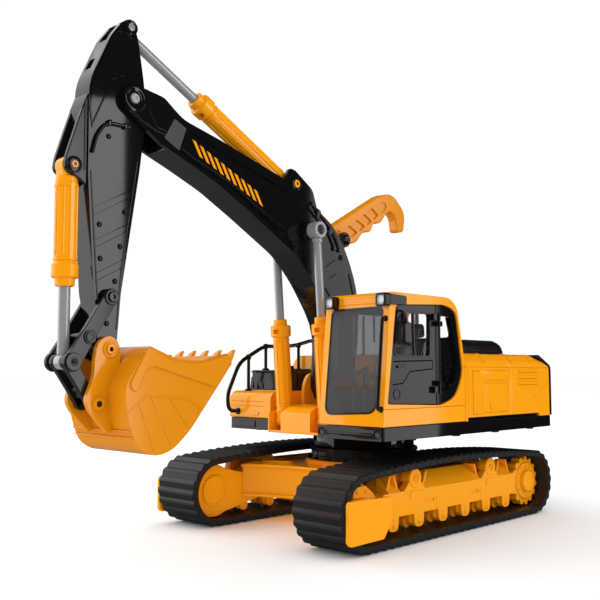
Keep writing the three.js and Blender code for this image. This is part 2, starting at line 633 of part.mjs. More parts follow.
function bucketLink() {
  const sides = [1, -1].map((hand) => strap(LINK.top, LINK.bottom, 5.2, 4.6, hand * 4.2, hand * 8.5));
  const crossBar = strap([279.5, 112.5], [276.8, 108.6], 2.4, 2.4, -8, 8);
  return cut(join(...sides, crossBar), diskY(LINK.top, 3.4, -20, 20));
}

const lever = assembly(part('bucket_lever', bucketLever(), DARK));
const link = assembly(part('bucket_link', bucketLink(), DARK));

// ---------------------------------------------------------------- bucket
function bucketShell() {
  const { half, wall, earInner, earOuter } = BUCKET;
  const outside = [[249.4, 139.5, 2], [267, 114, 6], [264.5, 94, 8], [258, 77, 10], [245.5, 70, 8],
    [231, 72.5, 8], [216, 85, 6], [180.4, 128.6], [183.8, 135.6, 1], [205, 130.2, 8], [228.6, 131.5, 4]];
  const inside = [[248.4, 135.6], [263.2, 113.4, 6], [260.8, 95, 8], [255.5, 80, 9], [245, 73.6, 7],
    [232.6, 76, 8], [218.4, 87.6, 6], [183.5, 132], [178, 150], [215, 160], [246, 150]];
  const ear = [[256.5, 134], [258.5, 142, 4], [265, 146.4, 6], [273.6, 142, 5], [276, 130, 5],
    [275.8, 120, 6], [281.8, 106, 6], [279, 99, 5], [264.7, 84, 2], [258, 90], [260, 115]];
  const ears = [1, -1].map((hand) => side(ear, hand * earInner, hand * earOuter));
  const bosses = [1, -1].map((hand) => diskY(
    LINK.bottom, 4.4, hand * (earOuter - 1), hand * (earOuter + 1.4),
  ));
  const body = join(side(outside, -half, half), ...ears, ...bosses);
  const tub = cut(body, side(inside, wall - half, half - wall));
  return cut(tub, diskY(ARM.bucketPin, 3.4, -20, 20));
}

function bucketEdge() {
  const along = [-0.633, 0.774];
  const up = [0.437, 0.9];
  const lip = [180.04, 128.77];
  const at = (run, rise) => [lip[0] + along[0] * run + up[0] * rise, lip[1] + along[1] * run + up[1] * rise];
  const strip = side([at(0, 0), at(0, 4.6), at(2.6, 4), at(2.6, 0.2)], -31, 31);
  const teeth = [-2, -1, 0, 1, 2].map((i) => side(
    [at(1, 0.3), at(1, 4.2), at(9.6, 1.9), at(10, 0.9)], i * 14.2 - 2.6, i * 14.2 + 2.6,
  ));
  return join(strip, ...teeth);
}

const bucket = assembly(
  part('bucket_shell', bucketShell(), ORANGE),
  part('bucket_edge', bucketEdge(), ORANGE),
);

// ---------------------------------------------------------------- whole machine
const machine = assembly(
  undercarriage, house, door, boom, armCylinder, arm, bucketCylinder, lever, link, bucket,
);
const bounds = new THREE.Box3().setFromObject(machine);
const middle = bounds.getCenter(new THREE.Vector3());
machine.position.set(-middle.x, -middle.y, -bounds.min.z);
const excavator = new THREE.Group();
excavator.add(machine);

export default excavator;
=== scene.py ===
# Toy crawler excavator. Shapes are drawn in millimetres around the slew axis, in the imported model's
# own directions: +X towards the bucket, +Y to the cab side, +Z up. Then they move into its frame.
import json
import math

import bmesh
import bpy
from mathutils import Matrix, Vector


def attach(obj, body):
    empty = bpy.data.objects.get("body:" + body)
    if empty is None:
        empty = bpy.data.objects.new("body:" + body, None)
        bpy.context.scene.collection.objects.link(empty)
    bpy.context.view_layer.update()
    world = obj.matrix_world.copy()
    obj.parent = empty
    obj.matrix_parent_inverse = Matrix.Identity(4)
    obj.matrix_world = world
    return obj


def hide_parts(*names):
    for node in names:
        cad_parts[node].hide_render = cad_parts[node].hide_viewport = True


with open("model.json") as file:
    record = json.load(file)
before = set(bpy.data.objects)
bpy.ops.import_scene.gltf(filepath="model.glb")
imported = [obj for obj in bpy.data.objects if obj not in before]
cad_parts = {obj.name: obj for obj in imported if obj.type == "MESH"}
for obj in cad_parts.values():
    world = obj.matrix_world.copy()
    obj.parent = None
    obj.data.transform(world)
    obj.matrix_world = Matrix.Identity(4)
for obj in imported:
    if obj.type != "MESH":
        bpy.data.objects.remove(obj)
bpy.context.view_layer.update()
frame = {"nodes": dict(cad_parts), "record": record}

JOINTS = {j["name"]: j for j in frame["record"]["behaviour"]["joints"]}
SLEW_X = JOINTS["slew"]["pos_m"][0]
TO_FRAME = Matrix.Translation((SLEW_X, 0, 0)) @ Matrix.Scale(0.001, 4)
FROM_FRAME = TO_FRAME.inverted()


def pivot(joint):
    """A hinge's (x, z) in drawing millimetres."""
    p = FROM_FRAME @ Vector(JOINTS[joint]["pos_m"])
    return p.x, p.z


# Pivots, as (x, z)
BOOM_FOOT = pivot("boom_lift")
BOOM_TIP = pivot("arm_swing")
LIFT_FOOT = pivot("left_lift_tilt")
LIFT_EYE = (83.7, 234)
ARM_CYL_FOOT = pivot("arm_cylinder_tilt")
ARM_EYE = (251, 351.5)
EYE_PIN = (250.5, 351.9)
BUCKET_CYL_FOOT = pivot("bucket_cylinder_tilt")
LEVER_PIN = pivot("bucket_lever_swing")
LINK_TOP = pivot("bucket_link_swing")
LINK_LOW = (273.1, 103.2)
BUCKET_PIN = pivot("bucket_curl")
SPROCKET = pivot("left_sprocket_spin")
IDLER = pivot("left_idler_spin")
ORIGIN = (0, 0, 0)
BOTH = (("left", 1), ("right", -1))

# Distance of each side face from the middle
TRACK_FACE, CHEST_FACE, BOOM_FACE, ARM_FACE, BUCKET_FACE = 91.5, 93, 12.5, 8.5, 33
HOOD_FACES = ((1, 98), (-1, 93))
LIFT_CYL_Y = 22.8


# ------------------------------------------------------------------ materials
def add(tree, kind, **values):
    node = tree.nodes.new(kind)
    for key, value in values.items():
        if key in node.inputs:
            node.inputs[key].default_value = value
        else:
            setattr(node, key, value)
    return node


def ranged(tree, noise, low, high):
    """The noise, spread over low to high."""
    node = add(tree, "ShaderNodeMapRange", **{"To Min": low, "To Max": high})
    tree.links.new(noise.outputs["Fac"], node.inputs["Value"])
    return node.outputs["Result"]


def mottled(name, color, shift, rough, **pattern):
    """A material with faint mottling in colour and uneven gloss, both from one noise."""
    material = bpy.data.materials.new(name)
    material.use_nodes = True
    tree = material.node_tree
    shader = tree.nodes["Principled BSDF"]
    place = add(tree, "ShaderNodeTexCoord").outputs["Object"]
    cloud = add(tree, "ShaderNodeTexNoise", **pattern)
    tree.links.new(place, cloud.inputs["Vector"])
    tint = add(tree, "ShaderNodeVectorMath", operation="SCALE")
    tint.inputs[0].default_value = color
    tree.links.new(ranged(tree, cloud, 1 - shift, 1 + shift), tint.inputs["Scale"])
    tree.links.new(tint.outputs["Vector"], shader.inputs["Base Color"])
    tree.links.new(ranged(tree, cloud, *rough), shader.inputs["Roughness"])
    return material, tree, shader, place


def plastic(name, color, rough, grain=0.02, spread=0.06, shift=0.05, grain_scale=2600, metal=0.0):
    """Moulded plastic with a fine moulded skin."""
    material, tree, shader, place = mottled(name, color, shift, (max(0.02, rough - spread),
        rough + spread), Scale=38.0, Detail=4.0, Roughness=0.6)
    skin = add(tree, "ShaderNodeTexNoise", Scale=float(grain_scale), Detail=2.0)
    tree.links.new(place, skin.inputs["Vector"])
    bump = add(tree, "ShaderNodeBump", Strength=grain, Distance=0.0004)
    tree.links.new(skin.outputs["Fac"], bump.inputs["Height"])
    tree.links.new(bump.outputs["Normal"], shader.inputs["Normal"])
    shader.inputs["Metallic"].default_value = metal
    return material


def clear_plastic(name, color, transmission=1.0, ior=1.45):
    """Clear moulded plastic with a faint haze."""
    material, _, shader, _ = mottled(name, color, 0.03, (0.0, 0.07), Scale=60.0, Detail=3.0)
    shader.inputs["Transmission Weight"].default_value = transmission
    shader.inputs["IOR"].default_value = ior
    return material


ORANGE = plastic("orange_plastic", (0.95, 0.35, 0.006), 0.09, grain=0.004, spread=0.02, shift=0.03)
# A darker copy of the orange, painted shade: the bucket, carry handle and teeth use it to stand in
# for the light falling off there.
PAINTED_SHADE_ORANGE = plastic("painted_shade_orange_plastic", (0.76, 0.265, 0.004), 0.12, grain=0.004, spread=0.02,
    shift=0.03)
BLACK = plastic("black_plastic", (0.005, 0.005, 0.0055), 0.04, grain=0.003, spread=0.012)
DARK = plastic("dark_plastic", (0.008, 0.008, 0.0085), 0.16, grain=0.01, spread=0.04)
TREAD = plastic("tread_plastic", (0.011, 0.011, 0.012), 0.45, grain=0.12, grain_scale=1500)
SILVER = plastic("silver_plastic", (0.42, 0.43, 0.45), 0.24, grain=0.0, spread=0.03, metal=0.4)
# Windscreen: a real smoke tint, but its part-opaque grey stands in for the grey veil of reflected
# light, a painted reflection.
SMOKE_AND_PAINTED_REFLECTION = clear_plastic("smoked_window", (0.24, 0.24, 0.245), 0.74, ior=1.12)
CLEAR = clear_plastic("clear_window", (0.93, 0.94, 0.95), ior=1.08)
STRAP = plastic("boom_strap_grey", (0.05, 0.05, 0.053), 0.3, grain=0.0)
# Bright white, for the lamp reflectors and for the console bars behind the windscreen, which are
# painted light.
BRIGHT = plastic("lamp_reflector_and_light_bar_white", (0.9, 0.91, 0.93), 0.14, grain=0.0, spread=0.02)
LENS = clear_plastic("lamp_lens", (0.97, 0.98, 0.99), ior=1.1)


# ------------------------------------------------------------------ shapes, in drawing millimetres
PLACE = {"X": lambda a, b, t: (t, a, b), "Y": lambda a, b, t: (a, t, b), "Z": lambda a, b,
    t: (a, b, t),}


def arc(p, before, after, reach, steps):
    """Points of a rounded bend at p, from reach before it to reach after it."""
    enter, leave = p + before.normalized() * reach, p + after.normalized() * reach
    return [enter * (1 - t) ** 2 + p * 2 * t * (1 - t) + leave * t * t
        for t in (k / steps for k in range(steps + 1))]


def rounded(corners, steps=5):
    """Corners (a, b) or (a, b, radius) as points, each radius drawn as an arc."""
    points = []
    for i, corner in enumerate(corners):
        p = Vector(corner[:2])
        before = Vector(corners[i - 1][:2]) - p
        after = Vector(corners[(i + 1) % len(corners)][:2]) - p
        radius = corner[2] if len(corner) > 2 else 0
        radius = min(radius, 0.45 * before.length, 0.45 * after.length)
        points += arc(p, before, after, radius, steps) if radius > 0 else [p]
    return points


def rect(a0, a1, b0, b1, radius=0):
    """The corners of an upright rectangle."""
    return [(a0, b0, radius), (a1, b0, radius), (a1, b1, radius), (a0, b1, radius)]


def soften(bm, width, segments=2, angle=28):
    """Rounds every edge sharper than angle, in degrees."""
    if width > 0:
        bm.normal_update()
        edges = [e for e in bm.edges
            if len(e.link_faces) == 2 and e.calc_face_angle(0) > math.radians(angle)]
        bmesh.ops.bevel(bm, geom=edges, offset=width, segments=segments, profile=0.5,
            affect="EDGES", clamp_overlap=True)
    return bm


def prism(corners, axis, lo, hi, bevel=0.5, segments=2, steps=5):
    """An outline carried along the axis from lo to hi, with rounded edges."""
    points = rounded(corners, steps)
    bm = bmesh.new()
    low, high = [[bm.verts.new(PLACE[axis](*p, t)) for p in points] for t in sorted((lo, hi))]
    bm.faces.new(low)
    bm.faces.new(high[::-1])
    for i in range(len(points)):
        bm.faces.new((low[i - 1], high[i - 1], high[i], low[i]))
    bmesh.ops.recalc_face_normals(bm, faces=bm.faces)
    return soften(bm, bevel, segments)


def plate(corners, y0, y1, bevel=0.5, segments=2, steps=5):
    """A flat part drawn in side view, between two distances from the middle."""
    return prism(corners, "Y", y0, y1, bevel, segments, steps)


def block(x0, x1, y0, y1, z0, z1, bevel=0.5, segments=2):
    return prism(rect(x0, x1, y0, y1), "Z", z0, z1, bevel, segments)


def skin(bm, rings, closed=False):
    """Joins each ring of points to the next, and closes the ends or the loop."""
    for one, two in zip(rings, rings[1:] + rings[:1] if closed else rings[1:]):
        for k in range(len(one)):
            bm.faces.new((one[k - 1], two[k - 1], two[k], one[k]))
    if not closed:
        bm.faces.new(rings[0])
        bm.faces.new(rings[-1][::-1])
    bmesh.ops.recalc_face_normals(bm, faces=bm.faces)
    return bm


def lathe(profile, axis, centre, sides=40):
    """Turns (distance, radius) points about an axis through centre, with closed ends."""
    bm = bmesh.new()
    turns = [2 * math.pi * k / sides for k in range(sides)]
    return skin(bm, [[bm.verts.new(Vector(PLACE[axis](r * math.cos(t), r * math.sin(t), far))
        + Vector(centre)) for t in turns] for far, r in profile])


def turned(steps, x, z, hand=1, y=0, sides=32):
    """A turned part about (x, z), its (distance, radius) steps going outwards from y."""
    return lathe([(y + hand * far, r) for far, r in steps], "Y", (x, 0, z), sides)


def disk(x, z, radius, y0, y1, lip=0.5, sides=40):
    """A pin or boss along Y with rounded rims."""
    y0, y1 = sorted((y0, y1))
    lip = min(lip, (y1 - y0) / 2.2, radius / 2)
    profile = [(y0, radius - lip), (y0 + lip * 0.3, radius - lip * 0.3), (y0 + lip, radius),
        (y1 - lip, radius), (y1 - lip * 0.3, radius - lip * 0.3), (y1, radius - lip)]
    return turned(profile, x, z, sides=sides)


def bolt(x, z, y, hand, radius=1.5, height=0.9):
    """A round fastener head with a socket, standing out of a face at y."""
    profile = [(0, radius * 1.25), (0.25, radius * 1.25), (0.3, radius), (height * 0.75, radius),
        (height, radius * 0.75), (height, radius * 0.42), (height * 0.5, radius * 0.36)]
    return turned(profile, x, z, hand, y, 20)


def bolt_circle(x, z, radius, count, y, hand, size):
    """Bolts with a head radius of size, evenly round a circle."""
    turns = [2 * math.pi * k / count for k in range(count)]
    return [bolt(x + radius * math.cos(t), z + radius * math.sin(t), y, hand, size, 0.8)
        for t in turns]


def tube(points, radius, sides=12, bend=None):
    """A round bar through points, with rounded bends."""
    at = [Vector(p) for p in points]
    path = [at[0]]
    for i in range(1, len(at) - 1):
        before, after = at[i - 1] - at[i], at[i + 1] - at[i]
        reach = min(bend or 4 * radius, before.length * 0.48, after.length * 0.48)
        path += arc(at[i], before, after, reach, 5)
    path.append(at[-1])
    bm = bmesh.new()
    rings = []
    across = (path[1] - path[0]).normalized().orthogonal().normalized()
    for i, p in enumerate(path):
        ahead = (path[min(i + 1, len(path) - 1)] - path[max(i - 1, 0)]).normalized()
        across = (across - ahead * across.dot(ahead)).normalized()
        up = ahead.cross(across)
        rings.append([bm.verts.new(p + (across * math.cos(a) + up * math.sin(a)) * radius)
            for a in (2 * math.pi * k / sides for k in range(sides))])
    return skin(bm, rings)


def rail(points, y, hand, width, height):
    """A raised moulded strip on a side face at y, along points (x, z)."""
    parts = []
    for (x0, z0), (x1, z1) in zip(points, points[1:]):
        run = Vector((x1 - x0, z1 - z0))
        side = Vector((-run.y, run.x)).normalized() * width / 2
        run = run.normalized() * width * 0.2
        corners = [(x + on * run.x + out * side.x, z + on * run.y + out * side.y) for x, z, on,
            out in ((x0, z0, -1, 1), (x1, z1, 1, 1), (x1, z1, 1, -1), (x0, z0, -1, -1))]
        parts.append(plate(corners, y - hand * 0.4, y + hand * height, min(width, height) * 0.35))
    return parts


def to_mesh(bm, name="part"):
    mesh = bpy.data.meshes.new(name)
    bm.to_mesh(mesh)
    bm.free()
    return mesh


def cleaned(bm):
    """Welds points that meet and merges faces that lie in one plane."""
    bmesh.ops.remove_doubles(bm, verts=bm.verts, dist=0.002)
    bmesh.ops.dissolve_limit(bm, angle_limit=0.01, verts=bm.verts, edges=bm.edges)
    return bm


def boolean(bm, cutters, operation="DIFFERENCE"):
    """bm with the cutters taken out of it, or joined or crossed with it."""
    target = bpy.data.objects.new("target", to_mesh(bm))
    bpy.context.scene.collection.objects.link(target)
    others = []
    for cutter in cutters:
        other = bpy.data.objects.new("cutter", to_mesh(cutter))
        bpy.context.scene.collection.objects.link(other)
        modifier = target.modifiers.new("cut", "BOOLEAN")
        modifier.object = other
        modifier.operation = operation
        modifier.solver = "EXACT"
        others.append(other)
    depsgraph = bpy.context.evaluated_depsgraph_get()
    made = bmesh.new()
    made.from_mesh(target.evaluated_get(depsgraph).to_mesh())
    for o in (target, *others):
        mesh = o.data
        bpy.data.objects.remove(o)
        bpy.data.meshes.remove(mesh)
    return cleaned(made)


def solid_of(node, bevel=0.5, segments=2):
    """A CAD node's own solid, cleaned into whole faces, with its edges rounded."""
    bm = bmesh.new()
    bm.from_mesh(frame["nodes"][node].data)
    bm.transform(FROM_FRAME)
    return soften(cleaned(bm), bevel, segments)


def piece(name, body, material, parts, *stands_for, smooth=38):
    """One visible piece from its parts, riding on a CAD body."""
    whole = bmesh.new()
    for part in parts:
        mesh = to_mesh(part)
        whole.from_mesh(mesh)
        bpy.data.meshes.remove(mesh)
    whole.transform(TO_FRAME)
    mesh = to_mesh(whole, name)
    mesh.polygons.foreach_set("use_smooth", [True] * len(mesh.polygons))
    mesh.set_sharp_from_angle(angle=math.radians(smooth))
    mesh.materials.append(material)
    o = bpy.data.objects.new(name, mesh)
    bpy.context.scene.collection.objects.link(o)
    weighted = o.modifiers.new("normals", "WEIGHTED_NORMAL")
    weighted.keep_sharp = True
    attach(o, body)
    if stands_for:
        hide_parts(*stands_for)
    return o


# ------------------------------------------------------------------ tracks
# End radius and thickness of a belt, rise of its upper run, and number of shoes
RADIUS, BELT, CROWN, SHOES = 27.25, 5.5, 5, 72
# Height of the tread at six even steps along one shoe
SHOE = (0.0, 0.0, -0.5, -1.5, -1.1, -0.7)


def loop_path():
    """The belt's outer line as (point, outward normal) at six even steps in every shoe."""
    reach = IDLER[0]
    steps = [t / 60 for t in range(60)]

    def end(x, first):
        turns = [first + math.pi * u for u in steps]
        return [Vector((x + RADIUS * math.cos(t), RADIUS + RADIUS * math.sin(t))) for t in turns]

    rough = [Vector((-reach + 2 * reach * u, 0)) for u in steps] + end(reach, -math.pi / 2)
    rough += [Vector((reach * (1 - 2 * u), 2 * RADIUS + 4 * CROWN * u * (1 - u))) for u in steps]
    rough += end(-reach, math.pi / 2)
    rough.append(rough[0])
    lengths = [(b - a).length for a, b in zip(rough, rough[1:])]
    total, count, path, i, gone = sum(lengths), SHOES * len(SHOE), [], 0, 0.0
    for k in range(count):
        want = total * k / count
        while gone + lengths[i] < want:
            gone += lengths[i]
            i += 1
        a, b = rough[i], rough[i + 1]
        step = (b - a).normalized()
        path.append((a + step * (want - gone), Vector((step.y, -step.x))))
    return path


def belt(hand):
    """The track belt, its shoes stepped along the outer line."""
    y0, y1 = sorted((hand * 53, hand * 100))
    bm = bmesh.new()
    rings = []
    for k, (p, n) in enumerate(loop_path()):
        top = SHOE[k % 6]
        notch = 0.35 if k % 6 in (2, 3) else 0
        section = [(y0 + 0.4, -BELT), (y0 + notch, -BELT + 0.6), (y0 + notch, top - 1.5),
            (y0 + 0.5, top - 0.5), (y0 + 1.4, top), (y1 - 1.4, top), (y1 - 0.5, top - 0.5),
            (y1 - notch, top - 1.5), (y1 - notch, -BELT + 0.6), (y1 - 0.4, -BELT)]
        rings.append([bm.verts.new((p.x + n.x * off, y, p.y + n.y * off)) for y, off in section])
    return skin(bm, rings, closed=True)


def guide_lugs(hand):
    """Inner teeth of the belt, which run between the wheels' flanges."""
    return [plate([(p.x - n.x * BELT + s * n.y * 1.3 - n.x * d,
        p.y - n.y * BELT - s * n.x * 1.3 - n.y * d) for s, d in ((-1, -0.3), (1, -0.3), (0.6, 1.7),
        (-0.6, 1.7))], hand * 73.6, hand * 77, 0.2, 1) for k, (p, n) in enumerate(loop_path())
        if k % 12 == 3]


def track_frame(hand):
    y = TRACK_FACE

    def side(corners, a, b, bevel=0.6):
        return plate(corners, hand * a, hand * b, bevel)

    parts = [side(rect(-93, 90, 18.7, 36.5, 3), 60, y, 0.9),
        side([(84, 35), (70, 47.6, 3), (-76, 47.6, 3), (-90, 35)], 66, 79.5),
        side([(86, 20.7), (122, 19.7, 5), (122, 35.5, 5), (86, 34.5)], 87.3, y),
        side([(-126, 16, 6), (-88, 18.7), (-88, 36.5), (-126, 38.5, 6)], 60, 64)]
    for x0, x1 in ((82, 68), (38, -39), (-67, -88)):
        wedge = [(hand * 79, 36), (hand * 91.2, 36), (hand * 79.3, 47.6)]
        parts.append(prism(wedge, "X", x1, x0, 0.4))
        for x, lean in ((x0, 5), (x1, -5)):
            rib = [(x - 1.1, 35.5), (x + 1.1, 35.5), (x + 1.1 - lean, 48.2), (x - 1.1 - lean, 48.2)]
            parts.append(side(rib, 79, 88.5, 0.3))
    for x in (51.4, -53.2):
        parts.append(side([(x - 14.5, 35), (x + 14.5, 35), (x + 7, 42.5, 2), (x + 5, 47),
            (x - 5, 47), (x - 7, 42.5, 2)], 85.5, y, 0.5))
        parts.append(turned(((63, 6.6), (63.6, 7.4), (72, 7.4), (72.4, 5.2), (84.4, 5.2),
            (84.8, 7.4), (91.6, 7.4), (92.3, 6.7), (92.3, 3.6), (91.7, 3.2), (91.7, 1.6),
            (92.2, 1.2)), x, 44.8, hand))
        parts.append(side([(x - 6.6, 29.6), (x + 6.6, 29.6, 2), (x + 6.6, 35.6, 3),
            (x - 6.6, 35.6, 3)], y, y + 0.5, 0.25))
        parts.append(bolt(x, 44.8, hand * 92.0, hand, 1.5, 0.9))
    for x in (79, 48, 17, -14, -45, -76):
        for shift, a, b in ((-1.6, y - 9, y), (3.8, 74, 79), (3.8, 64, 68)):
            tab = [(x - 6.4 + shift, 20), (x - 5.6 + shift, 9, 4.5), (x + 5.6 + shift, 9, 4.5),
                (x + 6.4 + shift, 20)]
            parts.append(side(tab, a, b, 0.6))
        parts.append(side([(x - 4, 20), (x - 4, 12, 2), (x + 6, 12, 2), (x + 6, 20)], 68, y - 3.4))
        parts.append(turned(((62, 3), (62.4, 4.6), (83.4, 4.6), (83.8, 3)), x + 3, 12.6, hand,
            sides=24))
        parts.append(bolt(x - 1.6, 12.8, hand * y, hand, 1.3, 0.7))
        parts.append(bolt(x - 1.6, 16.8, hand * y, hand, 0.7, 0.4))
    seams = [side(rect(x - 0.25, x + 0.25, 10, 30), y - 0.5, y + 1, 0) for x in (24.5, -37.5)]
    slots = [side(rect(x - 6, x + 6, 25.8, 28.4, 0.6), y - 0.9, y + 1, 0) for x in (33, -29)]
    parts[0] = boolean(parts[0], seams + slots)
    parts += [disk(*IDLER, 20.8, hand * 60.2, hand * 63.6, 0.8, 56),
        side([(60, 18.7), (110, 8.5, 2), (110, 46, 4), (88, 40, 4), (60, 40)], 60.1, 63.4, 0.5),
        turned(((61, 12.4), (59.2, 12.4), (58.8, 12.0), (58.8, 10.8), (59.6, 10.2), (59.6, 0.4)),
        *IDLER, hand, sides=48)]
    return parts


def idler(hand):
    profile = [(63.9, 18.5), (64.3, 21.0), (71.6, 21.2), (72.2, 20.4), (72.6, 15.4), (77.4, 15.4),
        (77.8, 20.4), (78.4, 21.2), (85.5, 21.0), (86.2, 19.8), (86.2, 17.2), (85.0, 16.4),
        (84.6, 9), (86.6, 8), (86.6, 5.6)]
    return [turned(profile, *IDLER, hand, sides=56), *bolt_circle(*IDLER, 12.6, 8, hand * 84.8,
        hand, 1.2)]


def sprocket(hand):
    teeth, corners = 15, []
    for i in range(teeth):
        for turn, radius, r in ((-0.36, 18.6, 0.8), (-0.2, 21.2, 0.7), (0.2, 21.2, 0.7),
                (0.36, 18.6, 0.8)):
            angle = (i + turn) / teeth * 2 * math.pi
            corners.append((SPROCKET[0] + radius * math.cos(angle),
                SPROCKET[1] + radius * math.sin(angle), r))
    profile = [(66, 14), (66.5, 15.5), (88.2, 16.4), (89.3, 15.6), (89.5, 14.9), (88.8, 14.3),
        (88.8, 9.8), (91.2, 9.3), (92, 8.4), (92, 6.4), (91.4, 5.8), (91.4, 1.8), (91.9, 1.2)]
    return [plate(corners, hand * 80, hand * 88.2, 0.5, 2, 2), turned(profile, *SPROCKET, hand,
        sides=56), *bolt_circle(*SPROCKET, 12.2, 12, hand * 88.7, hand, 0.95)]


def car_body():
    def waisted(inset):
        front = [(88 - inset - 20 * (1 - (t / 12) ** 2), t / 12 * 59.7) for t in range(-12, 13)]
        return front + [(-x, y) for x, y in front[::-1]]

    parts = [prism(waisted(2.2), "Z", 20.5, 46, 0.4), prism(waisted(0), "Z", 44.2, 46.6, 0.7),
        prism(waisted(0.4), "Z", 20, 22.6, 0.7), lathe([(43, 50), (49, 50), (50, 49), (50, 40)],
        "Z", ORIGIN, 64)]
    for hand in (1, -1):
        for end in (1, -1):
            parts.append(block(end * 60, end * 84, hand * 56.8, hand * 59.6, 19.4, 47.4, 0.5))
            parts.append(prism([(end * 52, hand * 34), (end * 56, hand * 34), (end * 66, hand * 56),
                (end * 62, hand * 56)], "Z", 46.4, 48.2, 0.4))
    return parts


piece("car_body_frame", "undercarriage", ORANGE, car_body(), "car_body")
ring = [(50.3, 44.6), (50.3, 46), (53, 46), (53.4, 44.8), (57, 44.8), (57.4, 46), (59.6, 46),
    (60, 45.4)]
piece("slew_ring", "undercarriage", DARK, [lathe(ring, "Z", ORIGIN, 72)]
    + [lathe([(52.9, 1.6), (54.2, 1.6), (54.6, 1.1)], "Z", (47.6 * math.cos(t), 47.6 * math.sin(t),
    -2.4), 12) for t in (k * math.pi / 9 for k in range(18))], "slew_ring_lower")
for label, hand in BOTH:
    piece(f"{label}_belt_shoes", "undercarriage", TREAD, [belt(hand), *guide_lugs(hand)],
        f"{label}_track_belt", smooth=18)
    piece(f"{label}_side_frame", "undercarriage", ORANGE, track_frame(hand), f"{label}_track_frame")
    cover = [(94, 21, 1), (103, 9.3, 1.5), (138, 8.7, 1.5), (140.5, 11.5, 1), (140.5, 36, 1),
        (138.5, 38, 1), (94, 37, 1)]
    piece(f"{label}_cover_plate", "undercarriage", ORANGE,
        [plate(cover, hand * 100.3, hand * 103.3, 0.7, 3),
        plate([(99, 13), (130, 12.6, 3), (133, 37.5, 3), (99, 36.6)], hand * 91.8, hand * 101, 0.6),
        plate([(100, 36.2), (125, 37.6), (124, 44.6, 2), (112, 45.6, 2), (104, 40)], hand * 88.6,
        hand * 94, 0.6), bolt(112, 41.6, hand * 94, hand, 1.1), bolt(121, 41.6, hand * 94, hand,
        1.1)], f"{label}_idler_cover")
    piece(f"{label}_idler_wheel", f"{label}_idler", ORANGE, idler(hand), f"{label}_idler")
    piece(f"{label}_sprocket_wheel", f"{label}_sprocket", ORANGE, sprocket(hand),
        f"{label}_sprocket")


# ------------------------------------------------------------------ turntable, base and hood
def groove(points, y, hand, width=0.7, depth=0.8):
    """Cutters for a thin V-shaped moulded line on a side face at y."""
    cutters = []
    for a, b in zip(points, points[1:]):
        a, b = Vector(a), Vector(b)
        run = (b - a).normalized()
        side = Vector((-run.y, run.x)) * width
        bm = bmesh.new()
        ends = []
        for p in (a - run * width * 0.3, b + run * width * 0.3):
            section = ((p + side, y + hand * depth), (p - side, y + hand * depth),
                (p, y - hand * depth))
            ends.append([bm.verts.new((q.x, at_y, q.y)) for q, at_y in section])
        bm.faces.new(ends[0])
        bm.faces.new(ends[1][::-1])
        for k in range(3):
            bm.faces.new((ends[0][k - 1], ends[1][k - 1], ends[1][k], ends[0][k]))
        bmesh.ops.recalc_face_normals(bm, faces=bm.faces)
        cutters.append(bm)
    return cutters


def ring_of(x0, x1, z0, z1):
    """A closed rectangular line for a groove."""
    return [(x0, z0), (x1, z0), (x1, z1), (x0, z1), (x0, z0)]


piece("turntable", "house", BLACK,
    [lathe([(60.4, 41), (60.4, 42.4), (61, 43), (72.6, 43), (73.6, 42)], "Z", ORIGIN, 64)],
    "slew_ring_upper")
base = solid_of("house_base", 0.8)
front_slots = [block(96.2, 98, 44.4, 88.2, 76.6, 80, 0)]
piece("base_skirt", "house", BLACK, [boolean(base, front_slots), block(96.0, 96.9, 45, 87.6, 77.4,
    79.2, 0.3), *[lathe([(96.8, 3.4), (97.6, 3.2), (97.6, 2.2), (97.0, 1.8), (97.0, 0.4)], "X",
    (0, y, 78.8), 28) for y in (39.6, 92.4)], *[block(x, x + 6, y, y + 5, 71.2, 74.2, 0.5)
    for x in (-140, -80, -20, 40) for y in (-86, 80)], *[block(-60 + 24 * k, -50 + 24 * k, -70, 70,
    72.6, 74.2, 0.4) for k in range(5)], block(71, 71.8, -88, -60, 76, 81.6, 0.4)], "house_base")

hood = solid_of("engine_hood", 0.9, 3)
HOOD_LINES = [[(-12.2, 86.9), (-12.2, 138)], ring_of(-29.7, -18.9, 89, 123.6), ring_of(-72.6, -36.2,
    89.8, 113.6), [(-36.2, 116), (-72.6, 116)], [(-36.2, 123.8), (-72.6, 123.8)],
    [(-76.2, 86.9), (-76.2, 137)], [(-80.4, 86.9), (-80.4, 128)],
    *[[(-91.2, z), (-125, z)] for z in (122.4, 117, 111.8)], [(-8, 126.8), (-146, 126.4)],
    [(-99, 87), (-106, 96), (-146, 113.5)]]
lines = [cut for hand, y in HOOD_FACES for line in HOOD_LINES for cut in groove(line, y, hand)]
parts = [boolean(hood, lines + [block(-92, -14, y, y + 0.6, 137.4, 140, 0) for y in (-30, 18)])]
for hand, y in HOOD_FACES:
    for z in (123.8, 118.4, 113.2):
        parts.append(plate([(-125, z - 1.1), (-91.2, z - 1.1), (-91.2, z + 0.9, 0.4),
            (-125, z + 0.9, 0.4)], hand * (y - 1), hand * (y + 0.8), 0.35))
    parts += rail([(-45, 98), (-45.4, 93), (-47.4, 93.4)], y, hand, 1.3, 0.9)
    for x in (-38, -81, -114.5):
        crease = [(hand * (y - a), z) for a, z in ((1, 130.4), (-0.2, 131.2), (7.6, 138.4),
            (9, 138))]
        parts.append(prism(crease, "X", x - 0.6, x + 0.6, 0.25, 1))
    parts.append(block(-29.4, -19.2, *sorted((hand * (y - 0.4), hand * (y + 0.7))), 89.6, 123.2,
        0.4))
piece("hood_shell", "house", ORANGE, parts, "engine_hood")

